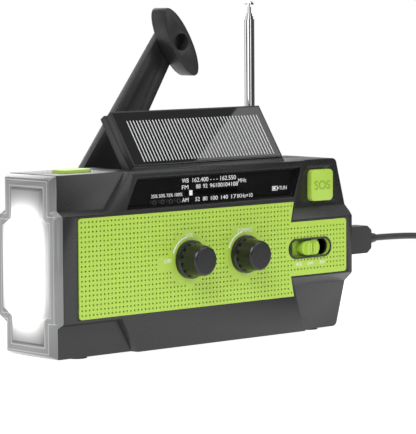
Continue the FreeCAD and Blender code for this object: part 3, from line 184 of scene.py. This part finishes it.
def makeGrain():
    group, start, end = newGroup("mouldedGrain", [
        ("Color", "NodeSocketColor", (0.03, 0.03, 0.03, 1)), ("Mottle", "NodeSocketFloat", 0.1),
        ("Roughness", "NodeSocketFloat", 0.5), ("Grain", "NodeSocketFloat", 2200.0),
        ("Depth", "NodeSocketFloat", 0.2),
    ], [("Color", "NodeSocketColor"), ("Roughness", "NodeSocketFloat"), ("Normal", "NodeSocketVector")])
    place = group.nodes.new("ShaderNodeTexCoord")
    fine = group.nodes.new("ShaderNodeTexNoise")
    fine.inputs["Detail"].default_value = grainMarks["fineDetail"]
    broad = group.nodes.new("ShaderNodeTexNoise")
    broad.inputs["Scale"].default_value = grainMarks["broadScale"]
    broad.inputs["Detail"].default_value = grainMarks["broadDetail"]
    tone = group.nodes.new("ShaderNodeHueSaturation")
    bump = group.nodes.new("ShaderNodeBump")
    bump.inputs["Distance"].default_value = grainMarks["bumpHigh"]
    link = group.links.new
    link(place.outputs["Object"], fine.inputs["Vector"])
    link(place.outputs["Object"], broad.inputs["Vector"])
    link(start.outputs["Grain"], fine.inputs["Scale"])
    shift = mathNode(group, "SUBTRACT", broad.outputs["Fac"], 0.5)
    shade = mathNode(group, "MULTIPLY", shift, start.outputs["Mottle"])
    link(mathNode(group, "ADD", shade, 1.0), tone.inputs["Value"])
    link(start.outputs["Color"], tone.inputs["Color"])
    speck = mathNode(group, "SUBTRACT", fine.outputs["Fac"], 0.5)
    fleck = mathNode(group, "MULTIPLY", speck, start.outputs["Depth"])
    rough = mathNode(group, "ADD", start.outputs["Roughness"], fleck)
    link(fine.outputs["Fac"], bump.inputs["Height"])
    link(start.outputs["Depth"], bump.inputs["Strength"])
    link(tone.outputs["Color"], end.inputs["Color"])
    link(mathNode(group, "ADD", rough, shade, True), end.inputs["Roughness"])
    link(bump.outputs["Normal"], end.inputs["Normal"])
    return group


def makePolish():
    group, start, end = newGroup("polishLines", [
        ("Roughness", "NodeSocketFloat", 0.1), ("Stretch", "NodeSocketVector", (1, 1, 0.05)),
        ("Depth", "NodeSocketFloat", 0.05),
    ], [("Roughness", "NodeSocketFloat"), ("Normal", "NodeSocketVector")])
    place = group.nodes.new("ShaderNodeTexCoord")
    scale = group.nodes.new("ShaderNodeVectorMath")
    scale.operation = "MULTIPLY"
    lines = group.nodes.new("ShaderNodeTexNoise")
    lines.inputs["Scale"].default_value = polishMarks["scale"]
    lines.inputs["Detail"].default_value = polishMarks["detail"]
    bump = group.nodes.new("ShaderNodeBump")
    bump.inputs["Distance"].default_value = polishMarks["bumpHigh"]
    link = group.links.new
    link(place.outputs["Object"], scale.inputs[0])
    link(start.outputs["Stretch"], scale.inputs[1])
    link(scale.outputs[0], lines.inputs["Vector"])
    spread = mathNode(group, "MULTIPLY", lines.outputs["Fac"], polishMarks["spread"])
    link(mathNode(group, "ADD", start.outputs["Roughness"], spread, True), end.inputs["Roughness"])
    link(lines.outputs["Fac"], bump.inputs["Height"])
    link(start.outputs["Depth"], bump.inputs["Strength"])
    link(bump.outputs["Normal"], end.inputs["Normal"])
    return group


grainGroup = makeGrain()
polishGroup = makePolish()
finishes = {}


def startFinish(name):
    paint = bpy.data.materials.new(name)
    paint.use_nodes = True
    finishes[name] = paint
    return paint.node_tree, paint.node_tree.nodes["Principled BSDF"]


def plasticFinish(name, color, rough, mottle=0.12, grain=2200.0, depth=0.2, alpha=1.0, glow=0.0):
    tree, shader = startFinish(name)
    effect = tree.nodes.new("ShaderNodeGroup")
    effect.node_tree = grainGroup
    effect.inputs["Color"].default_value = (*color, 1)
    effect.inputs["Mottle"].default_value = mottle
    effect.inputs["Roughness"].default_value = rough
    effect.inputs["Grain"].default_value = grain
    effect.inputs["Depth"].default_value = depth
    tree.links.new(effect.outputs["Color"], shader.inputs["Base Color"])
    tree.links.new(effect.outputs["Roughness"], shader.inputs["Roughness"])
    tree.links.new(effect.outputs["Normal"], shader.inputs["Normal"])
    shader.inputs["Alpha"].default_value = alpha
    shader.inputs["Emission Strength"].default_value = glow


def metalFinish(name, color, rough, stretch=(1, 1, 0.05), depth=0.05):
    tree, shader = startFinish(name)
    effect = tree.nodes.new("ShaderNodeGroup")
    effect.node_tree = polishGroup
    effect.inputs["Roughness"].default_value = rough
    effect.inputs["Stretch"].default_value = stretch
    effect.inputs["Depth"].default_value = depth
    shader.inputs["Base Color"].default_value = (*color, 1)
    shader.inputs["Metallic"].default_value = 1
    tree.links.new(effect.outputs["Roughness"], shader.inputs["Roughness"])
    tree.links.new(effect.outputs["Normal"], shader.inputs["Normal"])


plasticFinish("case_black", (0.019, 0.0193, 0.02), 0.3, depth=0.2)
plasticFinish("lime", (0.46, 0.68, 0.085), 0.36, mottle=0.05, depth=0.08)
plasticFinish("knob_black", (0.010, 0.010, 0.0105), 0.26, grain=2600.0, depth=0.1)
plasticFinish("crank_black", (0.022, 0.0225, 0.024), 0.42, grain=1900.0, depth=0.35)
plasticFinish("window_clear", (0.004, 0.004, 0.004), 0.04, mottle=0.0, depth=0.0, alpha=0.35)
plasticFinish("dial_black", (0.004, 0.004, 0.004), 0.5, mottle=0.0, depth=0.0)
# the pointer glows though it is no lamp: painted light, so that the pointer behind the dimmed window reads
# bright white
plasticFinish("pointer_white", (0.85, 0.85, 0.83), 0.45, mottle=0.03, glow=1.8)
plasticFinish("led_dark", (0.1, 0.11, 0.1), 0.15)
plasticFinish("solar_dark", (0.005, 0.005, 0.007), 0.35, mottle=0.0, depth=0.0)
plasticFinish("led_yellow", (0.9, 0.85, 0.5), 0.2)
plasticFinish("inner_plastic", (0.7, 0.69, 0.65), 0.45)
plasticFinish("board_green", (0.03, 0.16, 0.07), 0.35)
plasticFinish("cell_wrap", (0.06, 0.2, 0.42), 0.25)
plasticFinish("ferrite", (0.06, 0.06, 0.065), 0.6, grain=1500.0, depth=0.5)
plasticFinish("paper_cone", (0.02, 0.02, 0.02), 0.85, grain=900.0, depth=0.6)
plasticFinish("soft_rubber", (0.025, 0.025, 0.026), 0.75, grain=1600.0)
plasticFinish("lead_black", (0.03, 0.03, 0.032), 0.5, grain=2600.0)
plasticFinish("panel_glass", (0.004, 0.004, 0.005), 0.02, mottle=0.0, depth=0.0)
plasticFinish("screw_black", (0.015, 0.015, 0.016), 0.35)
plasticFinish("print_white", (0.86, 0.87, 0.86), 0.5, mottle=0.03)
plasticFinish("silver_line", (0.75, 0.76, 0.77), 0.35, mottle=0.05)
# a darker lime for the raised SOS word: painted shade, standing for the shade along the embossed letters'
# edges
plasticFinish("paintedShadeLime", (0.25, 0.43, 0.03), 0.5, mottle=0.03)
metalFinish("reflector_chrome", (0.85, 0.86, 0.87), 0.06)
metalFinish("chrome", (0.82, 0.82, 0.83), 0.04)
metalFinish("steel", (0.5, 0.5, 0.51), 0.25, stretch=(1, 0.05, 1))
metalFinish("copper", (0.6, 0.3, 0.12), 0.3)


# the lens glows over the torch's lights; the bezel's glow (rim) and its bright lines along the outline
# steps are painted light, since the bezel is no lamp
torch = {"glowWide": 10.8, "glowHigh": 21.5, "bulge": (2.5, 3.5), "glow": 3.2, "rim": 0.6,
         "smoke": (0.085, 0.087, 0.09),
         "tall": (-3.1, 35.8, 14.75, 35.0), "wide": (-2.1, 35.0, 19.25, 22.5),
         "lines": (2.2, 4.4), "paintedLineHalf": 0.3, "paintedLineGlow": 0.3}


def outlineDepth(tree, split):
    # how far inside the stepped outline of the case's end a point lies, in mm
    inside = None
    for middleY, middleZ, halfY, halfZ in (torch["tall"], torch["wide"]):
        reach = []
        for socket, middle, half in (("Y", middleY, halfY), ("Z", middleZ, halfZ)):
            offset = mathNode(tree, "SUBTRACT", split.outputs[socket], middle * mm)
            away = mathNode(tree, "ABSOLUTE", offset)
            reach.append(mathNode(tree, "SUBTRACT", half, mathNode(tree, "DIVIDE", away, mm)))
        nearest = mathNode(tree, "MINIMUM", *reach)
        inside = nearest if inside is None else mathNode(tree, "MAXIMUM", inside, nearest)
    return inside


def makeTorchFinish(name, color, rough, strength, spread, paintedRingLines=False):
    # the clear front glows over the lights and fades towards its rim; the bezel, which is no lamp, gets
    # painted light: a glow that fades away from the lights, and optionally painted highlight lines along
    # two steps of the case's outline
    low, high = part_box("torch_leds")
    middle = (low + high) / 2
    tree, shader = startFinish(name)
    place = tree.nodes.new("ShaderNodeTexCoord")
    split = tree.nodes.new("ShaderNodeSeparateXYZ")
    tree.links.new(place.outputs["Object"], split.inputs[0])
    across = mathNode(tree, "DIVIDE", mathNode(tree, "SUBTRACT", split.outputs["Y"], middle.y),
                      torch["glowWide"] * mm)
    up = mathNode(tree, "DIVIDE", mathNode(tree, "SUBTRACT", split.outputs["Z"], middle.z),
                  torch["glowHigh"] * mm)
    spans = [mathNode(tree, "POWER", mathNode(tree, "ABSOLUTE", reach), power)
             for reach, power in zip((across, up), torch["bulge"])]
    distance = mathNode(tree, "ADD", *spans)
    fade = mathNode(tree, "DIVIDE", 1.0, mathNode(tree, "ADD", 1.0, mathNode(
        tree, "POWER", distance, spread)))
    glow = mathNode(tree, "MULTIPLY", fade, strength)
    # painted highlights: bright lines of emission along two steps of the case's outline
    if paintedRingLines:
        depth = outlineDepth(tree, split)
        for line in torch["lines"]:
            away = mathNode(tree, "ABSOLUTE", mathNode(tree, "SUBTRACT", depth, line))
            edge = mathNode(tree, "SUBTRACT", 1.0, mathNode(tree, "DIVIDE", away, torch["paintedLineHalf"]), True)
            glow = mathNode(tree, "ADD", glow, mathNode(tree, "MULTIPLY", edge, torch["paintedLineGlow"]))
    shader.inputs["Emission Color"].default_value = (1, 1, 0.98, 1)
    tree.links.new(glow, shader.inputs["Emission Strength"])
    shader.inputs["Base Color"].default_value = (*color, 1)
    shader.inputs["Roughness"].default_value = rough
    shader.inputs["Coat Weight"].default_value = 0.5


makeTorchFinish("torch_clear", (0.1, 0.102, 0.105), 0.12, torch["glow"], 2.6)
# the smoky bezel glows with painted light from the lamp, fading from the lights, with painted highlight
# lines
makeTorchFinish("torch_smoke", torch["smoke"], 0.26, torch["rim"], 0.9, True)
for part in frame["record"]["subparts"]:
    for slot in nodes[part["node"]].material_slots:
        slot.material = finishes[part["material_slot"]]
for node, finish in (("knob_stud", "screw_black"), ("dial_pointer", "dial_black"),
                     ("case_screws", "screw_black")):
    for slot in nodes[node].material_slots:
        slot.material = finishes[finish]
print("finishes made:", len(finishes))


# Tools for the new pieces


def deselectAll():
    bpy.ops.object.select_all(action="DESELECT")


def applyPlace(piece):
    deselectAll()
    piece.select_set(True)
    bpy.context.view_layer.objects.active = piece
    bpy.ops.object.transform_apply(location=True, rotation=True, scale=True)


def finishPiece(piece, name, finish, body):
    piece.name = name
    piece.data.name = name
    piece.data.materials.clear()
    piece.data.materials.append(finishes[finish])
    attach(piece, body)
    return piece


def joinPieces(pieces):
    deselectAll()
    for piece in pieces:
        piece.select_set(True)
    bpy.context.view_layer.objects.active = pieces[0]
    if len(pieces) > 1:
        bpy.ops.object.join()
    return bpy.context.view_layer.objects.active


def applyModifiers(piece):
    deselectAll()
    piece.select_set(True)
    bpy.context.view_layer.objects.active = piece
    for modifier in list(piece.modifiers):
        bpy.ops.object.modifier_apply(modifier=modifier.name)


def softened(node, width, segments=2, angle=28):
    # a copy of a moulded part with its sharp edges rounded, which stands for the part
    source = nodes[node]
    piece = source.copy()
    piece.data = source.data.copy()
    bpy.context.scene.collection.objects.link(piece)
    deselectAll()
    piece.select_set(True)
    bpy.context.view_layer.objects.active = piece
    bpy.ops.object.mode_set(mode="EDIT")
    bpy.ops.mesh.select_all(action="SELECT")
    bpy.ops.mesh.remove_doubles(threshold=0.000002)
    bpy.ops.mesh.tris_convert_to_quads(face_threshold=math.radians(1), shape_threshold=math.radians(180))
    bpy.ops.mesh.dissolve_limited(angle_limit=math.radians(0.5))
    bpy.ops.object.mode_set(mode="OBJECT")
    bevel = piece.modifiers.new("edges", "BEVEL")
    bevel.width = width
    bevel.segments = segments
    bevel.limit_method = "ANGLE"
    bevel.angle_limit = math.radians(angle)
    applyModifiers(piece)
    bpy.ops.object.shade_smooth_by_angle(angle=math.radians(30))
    part = next(p for p in frame["record"]["subparts"] if p["node"] == node)
    body = next(b for b, held in frame["record"]["behaviour"]["bodies"].items() if node in held)
    finishPiece(piece, node + "Finished", part["material_slot"], body)
    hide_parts(node)
    return piece


# The lead, from the plug to its coil


lead = {
    "route": [(104.5, -9.35, 35.0), (124.0, -9.35, 34.9), (146.0, -9.2, 32.5), (160.0, -9.5, 20.0),
              (173.0, -9.9, 7.5), (189.0, -9.9, 1.4), (206.0, -9.7, 1.35)],
    "coilRadius": 20.2, "layers": 2, "turns": 7, "pointsPerTurn": 14, "radius": 1.35,
    "tail": [(212.0, -9.7, 4.05), (217.0, -9.7, 4.05)], "length": 0.80,
}


def coilPoints():
    # clockwise from above, winding inwards on the ground and outwards again on top
    startX, startY, low = lead["route"][-1]
    centreX, centreY = startX, startY - lead["coilRadius"]
    pitch = 2 * lead["radius"]
    half = lead["turns"] / lead["layers"]
    total = int(lead["turns"] * lead["pointsPerTurn"])
    points = []
    for step in range(1, total + 1):
        turn = step / lead["pointsPerTurn"]
        inward = min(turn, lead["turns"] - turn)
        rise = min(1, max(0, (turn - half + 0.25) / 0.5))
        radius = lead["coilRadius"] - inward * pitch
        angle = math.pi / 2 - 2 * math.pi * turn
        points.append((centreX + radius * math.cos(angle), centreY + radius * math.sin(angle),
                       low + rise * pitch))
    return points


def makeLead():
    points = lead["route"] + coilPoints() + lead["tail"]
    curve = bpy.data.curves.new("leadCord", "CURVE")
    curve.dimensions = "3D"
    curve.bevel_depth = lead["radius"] * mm
    curve.bevel_resolution = 5
    curve.use_fill_caps = True
    spline = curve.splines.new("NURBS")
    spline.points.add(len(points) - 1)
    for spot, point in zip(spline.points, points):
        spot.co = (*[value * mm for value in point], 1)
    spline.order_u = 3
    spline.use_endpoint_u = True
    spline.resolution_u = 6
    cord = bpy.data.objects.new("leadCord", curve)
    bpy.context.scene.collection.objects.link(cord)
    finishPiece(cord, "leadCord", "lead_black", "case")
    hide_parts("lead_tube", "lead_coil")


makeLead()
print("lead made")


# The dial's print: each row is words, first x, last x, middle z and height, in mm

dial = {
    "depth": 0.04,
    "scales": [
        ("WB", -15.2, -11.6, 66.0, 1.7), ("162.400 - - - 162.550", -9.6, 13.6, 66.0, 1.7),
        ("FM", -15.2, -11.8, 63.4, 1.6), ("88", -7.8, -5.4, 63.4, 1.6), ("92", -4.1, -1.7, 63.4, 1.6),
        ("96", -0.4, 2.2, 63.4, 1.6), ("100", 2.8, 6.4, 63.4, 1.6), ("104", 7.0, 10.4, 63.4, 1.6),
        ("108", 11.1, 14.6, 63.4, 1.6), ("MHz", 14.8, 19.2, 64.6, 1.6),
        ("AM", -15.2, -11.8, 58.4, 1.6), ("52", -8.2, -5.8, 58.4, 1.6), ("80", -4.2, -1.8, 58.4, 1.6),
        ("100", 0.1, 3.7, 58.4, 1.6), ("140", 5.6, 9.2, 58.4, 1.6), ("171", 11.1, 14.6, 58.4, 1.6),
        ("KHz×10", 15.0, 22.6, 58.4, 1.6), ("25% 50% 75% 100%", -31.2, -15.0, 60.7, 1.3),
        ("TUN", 37.4, 41.6, 60.4, 1.5),
    ],
    "battery": {"x": 35.0, "z": 60.4, "wide": 2.7, "high": 1.5, "line": 0.3, "tip": 1.6,
                "tipHigh": 0.5, "charge": 0.5, "chargeHigh": 0.55, "chargeLeft": 0.12},
    "pointer": {"x": -9.1, "z": 60.9, "wide": 1.7, "high": 2.0},
    "ledX": (-29.5, -25.3, -21.1, -16.9), "ledZ": 58.3, "ledRing": 0.8, "ledLine": 0.1,
}


def fittedText(words, left, right, middleZ, height, faceY, depth):
    bpy.ops.object.text_add()
    text = bpy.context.object
    text.data.body = words
    text.data.size = 1
    deselectAll()
    text.select_set(True)
    bpy.context.view_layer.objects.active = text
    bpy.ops.object.convert(target="MESH")
    letters = bpy.context.object
    lowX = min(vertex.co.x for vertex in letters.data.vertices)
    highX = max(vertex.co.x for vertex in letters.data.vertices)
    lowY = min(vertex.co.y for vertex in letters.data.vertices)
    highY = max(vertex.co.y for vertex in letters.data.vertices)
    thick = letters.modifiers.new("thick", "SOLIDIFY")
    thick.thickness = 1
    thick.offset = 1
    applyModifiers(letters)
    letters.rotation_euler = (math.pi / 2, 0, 0)
    wide = (right - left) * mm / (highX - lowX)
    high = height * mm / (highY - lowY)
    letters.scale = (wide, high, depth * mm)
    letters.location = (left * mm - lowX * wide, faceY, (middleZ - height / 2) * mm - lowY * high)
    applyPlace(letters)
    return letters


def makeMark(x, z, wide, high, faceY, depth):
    bpy.ops.mesh.primitive_cube_add(size=1, location=(x * mm, faceY - depth * mm / 2, z * mm))
    mark = bpy.context.object
    mark.scale = (wide * mm, depth * mm, high * mm)
    applyPlace(mark)
    bevel = mark.modifiers.new("corners", "BEVEL")
    bevel.width = depth * 0.3 * mm
    applyModifiers(mark)
    return mark


def makeDialPrint():
    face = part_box("dial_window")[0].y
    rows = [fittedText(*row, face, dial["depth"]) for row in dial["scales"]]
    battery = dial["battery"]
    x, z, wide, high, line = (battery[key] for key in ("x", "z", "wide", "high", "line"))
    for side in (-1, 1):
        rows.append(makeMark(x, z + side * high / 2, wide, line, face, dial["depth"]))
        rows.append(makeMark(x + side * wide / 2, z, line, high + line, face, dial["depth"]))
    tip = line * battery["tip"]
    rows.append(makeMark(x + wide / 2 + tip, z, tip, high * battery["tipHigh"], face, dial["depth"]))
    rows.append(makeMark(x - wide * battery["chargeLeft"], z, wide * battery["charge"],
                         high * battery["chargeHigh"], face, dial["depth"]))
    finishPiece(joinPieces(rows), "dialPrint", "print_white", "case")


def makePointerMark():
    mark = dial["pointer"]
    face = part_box("dial_pointer")[0].y
    piece = makeMark(mark["x"], mark["z"], mark["wide"], mark["high"], face, dial["depth"])
    finishPiece(piece, "pointerMark", "pointer_white", "pointer")


def makeLedRings():
    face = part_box("dial_window")[0].y
    rings = []
    for x in dial["ledX"]:
        bpy.ops.mesh.primitive_torus_add(
            location=(x * mm, face, dial["ledZ"] * mm), rotation=(math.pi / 2, 0, 0),
            major_radius=dial["ledRing"] * mm, minor_radius=dial["ledLine"] * mm,
            major_segments=24, minor_segments=6)
        applyPlace(bpy.context.object)
        rings.append(bpy.context.object)
    finishPiece(joinPieces(rings), "ledRings", "led_dark", "case")


makeDialPrint()
makePointerMark()
makeLedRings()
print("dial printed")


# The panel's glass: fine silver lines, and a soft box whose edge its gloss picks up

panel = {"lines": 43, "left": -33.7, "right": 35.9, "low": 3.1, "high": 21.9, "lineWide": 0.46,
         "lineThick": 0.03, "glassTop": 3.42,
         "softBox": {"at": (6.8, 11.7), "edge": (29.5, 20.0), "away": 1.0, "size": 0.36, "power": 0.7}}
joints = {joint["name"]: joint for joint in frame["record"]["behaviour"]["joints"]}
hinge = Vector(joints["panel_tilt"]["pos_m"])
slope = Matrix.Rotation(math.radians(-joints["panel_tilt"]["range_deg"][0]), 3, "X")


def onPanel(along, up, out):
    return hinge + slope @ Vector((along * mm, up * mm, out * mm))


def makePanelLines():
    step = (panel["right"] - panel["left"]) / (panel["lines"] - 1)
    bpy.ops.mesh.primitive_cube_add(size=1)
    line = bpy.context.object
    line.scale = (panel["lineWide"] * mm, (panel["high"] - panel["low"]) * mm, panel["lineThick"] * mm)
    applyPlace(line)
    repeat = line.modifiers.new("repeat", "ARRAY")
    repeat.count = panel["lines"]
    repeat.use_relative_offset = False
    repeat.use_constant_offset = True
    repeat.constant_offset_displace = (step * mm, 0, 0)
    applyModifiers(line)
    line.matrix_world = Matrix.Translation(onPanel(
        panel["left"], (panel["low"] + panel["high"]) / 2,
        panel["glassTop"] + panel["lineThick"] / 2)) @ slope.to_4x4()
    applyPlace(line)
    finishPiece(line, "panelLines", "silver_line", "panel")


def makeSoftBox():
    box = panel["softBox"]
    target = onPanel(*box["at"], panel["glassTop"])
    normal = slope @ Vector((0, 0, 1))
    sight = (target - Vector(view["place"])).normalized()
    bounce = sight.reflect(normal)
    edge = slope @ Vector((*box["edge"], 0))
    edge = (edge - bounce * edge.dot(bounce)).normalized()
    across = edge.cross(bounce)
    if across.x < 0:
        across = -across
    data = bpy.data.lights.new("softBox", "AREA")
    data.size = box["size"]
    data.energy = box["power"]
    light = bpy.data.objects.new("softBox", data)
    bpy.context.scene.collection.objects.link(light)
    turn = Matrix((edge, bounce.cross(edge), bounce)).transposed()
    place = target + bounce * box["away"] + across * box["size"] / 2
    light.matrix_world = Matrix.Translation(place) @ turn.to_4x4()


makePanelLines()
makeSoftBox()
print("panel lined")


# Marks on the sound plate: words, white arcs round the knobs, the dark rim of the slot

plate = {
    "words": [("VOL", -13.9, -9.9, 44.6, 1.5), ("TUNING", 13.6, 21.6, 44.6, 1.5),
              ("OFF", -25.2, -21.4, 35.0, 1.5), ("WB", 46.2, 49.2, 28.6, 1.4),
              ("FM", 52.9, 55.7, 28.6, 1.4), ("AM", 59.4, 62.4, 28.6, 1.4)],
    "depth": 0.05, "knobs": (-11.9, 17.6), "axis": 35.0, "arcRadius": 8.9, "arcThick": 0.3,
    "arcFlat": 0.4, "arcEnds": ((1, 0, 0.15), (-0.35, 0, -1)),
    "slot": (54.2, 35.0), "slotHalf": 8.0, "slotRadius": 3.75, "rim": 0.45,
}


def cutAway(piece, spot, normal):
    deselectAll()
    piece.select_set(True)
    bpy.context.view_layer.objects.active = piece
    bpy.ops.object.mode_set(mode="EDIT")
    bpy.ops.mesh.select_all(action="SELECT")
    bpy.ops.mesh.bisect(plane_co=spot, plane_no=normal, clear_outer=True, use_fill=True)
    bpy.ops.object.mode_set(mode="OBJECT")


def makePlateMarks():
    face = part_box("front_grille")[0].y
    marks = [fittedText(*row, face, plate["depth"]) for row in plate["words"]]
    for x in plate["knobs"]:
        centre = Vector((x * mm, face, plate["axis"] * mm))
        bpy.ops.mesh.primitive_torus_add(
            location=centre, rotation=(math.pi / 2, 0, 0), major_radius=plate["arcRadius"] * mm,
            minor_radius=plate["arcThick"] * mm, major_segments=72, minor_segments=8)
        arc = bpy.context.object
        arc.scale = (1, 1, plate["arcFlat"])
        applyPlace(arc)
        for end in plate["arcEnds"]:
            cutAway(arc, centre, end)
        marks.append(arc)
    finishPiece(joinPieces(marks), "plateMarks", "print_white", "case")


def makeSlotRim():
    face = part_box("front_grille")[0].y
    x, z = plate["slot"]
    bpy.ops.mesh.primitive_torus_add(
        location=(x * mm, face, z * mm), rotation=(math.pi / 2, 0, 0),
        major_radius=plate["slotRadius"] * mm, minor_radius=plate["rim"] * mm,
        major_segments=48, minor_segments=10)
    rim = bpy.context.object
    applyPlace(rim)
    for side in (-1, 1):
        bpy.ops.object.mode_set(mode="EDIT")
        bpy.ops.mesh.select_all(action="DESELECT")
        bpy.ops.object.mode_set(mode="OBJECT")
        for vertex in rim.data.vertices:
            vertex.select = side * (vertex.co.x - x * mm) > 0.00001
        bpy.ops.object.mode_set(mode="EDIT")
        bpy.ops.transform.translate(value=(side * plate["slotHalf"] * mm, 0, 0))
        bpy.ops.object.mode_set(mode="OBJECT")
    deselectAll()
    finishPiece(rim, "slotRim", "case_black", "case")


slider = {"ribs": 4, "pitch": 1.5, "radius": 0.42, "high": 4.4, "sunk": 0.1, "ends": 0.7}


def makeSliderRibs():
    # upright rounded ribs across the slider's face
    low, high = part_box("band_slider")
    middle = (low + high) / 2
    ribs = []
    for index in range(slider["ribs"]):
        shift = (index - (slider["ribs"] - 1) / 2) * slider["pitch"] * mm
        bpy.ops.mesh.primitive_cylinder_add(
            vertices=20, radius=slider["radius"] * mm, depth=slider["high"] * mm,
            location=(middle.x + shift, low.y + slider["sunk"] * mm, middle.z))
        rib = bpy.context.object
        applyPlace(rib)
        bevel = rib.modifiers.new("ends", "BEVEL")
        bevel.width = slider["radius"] * slider["ends"] * mm
        bevel.segments = 3
        bevel.angle_limit = math.radians(60)
        applyModifiers(rib)
        bpy.ops.object.shade_smooth_by_angle(angle=math.radians(40))
        ribs.append(rib)
    finishPiece(joinPieces(ribs), "sliderRibs", "lime", "band")


makeSliderRibs()
makePlateMarks()
makeSlotRim()
print("sound plate marked")


# Rounded edges of the moulded parts, each with its bevel width in mm

edgeWidths = {
    "front_shell": 0.35, "rear_shell": 0.35, "torch_bezel": 0.5, "crank_arm": 0.4, "crank_hub": 0.4,
    "crank_knob": 0.6, "panel_frame": 0.2, "panel_back": 0.3, "light_button": 0.3, "sos_button": 0.8,
}
for name, width in edgeWidths.items():
    softened(name, width * mm)
print("edges rounded")


# The word on the distress button, coloured darker than the button as painted shade along its embossed
# letters

sosButton = {"word": ("SOS", 58.6, 67.4, 60.2, 3.6), "depth": 0.12}


def makeSosWord():
    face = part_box("sos_button")[0].y
    word = fittedText(*sosButton["word"], face, sosButton["depth"])
    # the word's darker lime is painted shade, not a printed colour
    finishPiece(word, "sosWord", "paintedShadeLime", "sos")


makeSosWord()
print("button lettered")
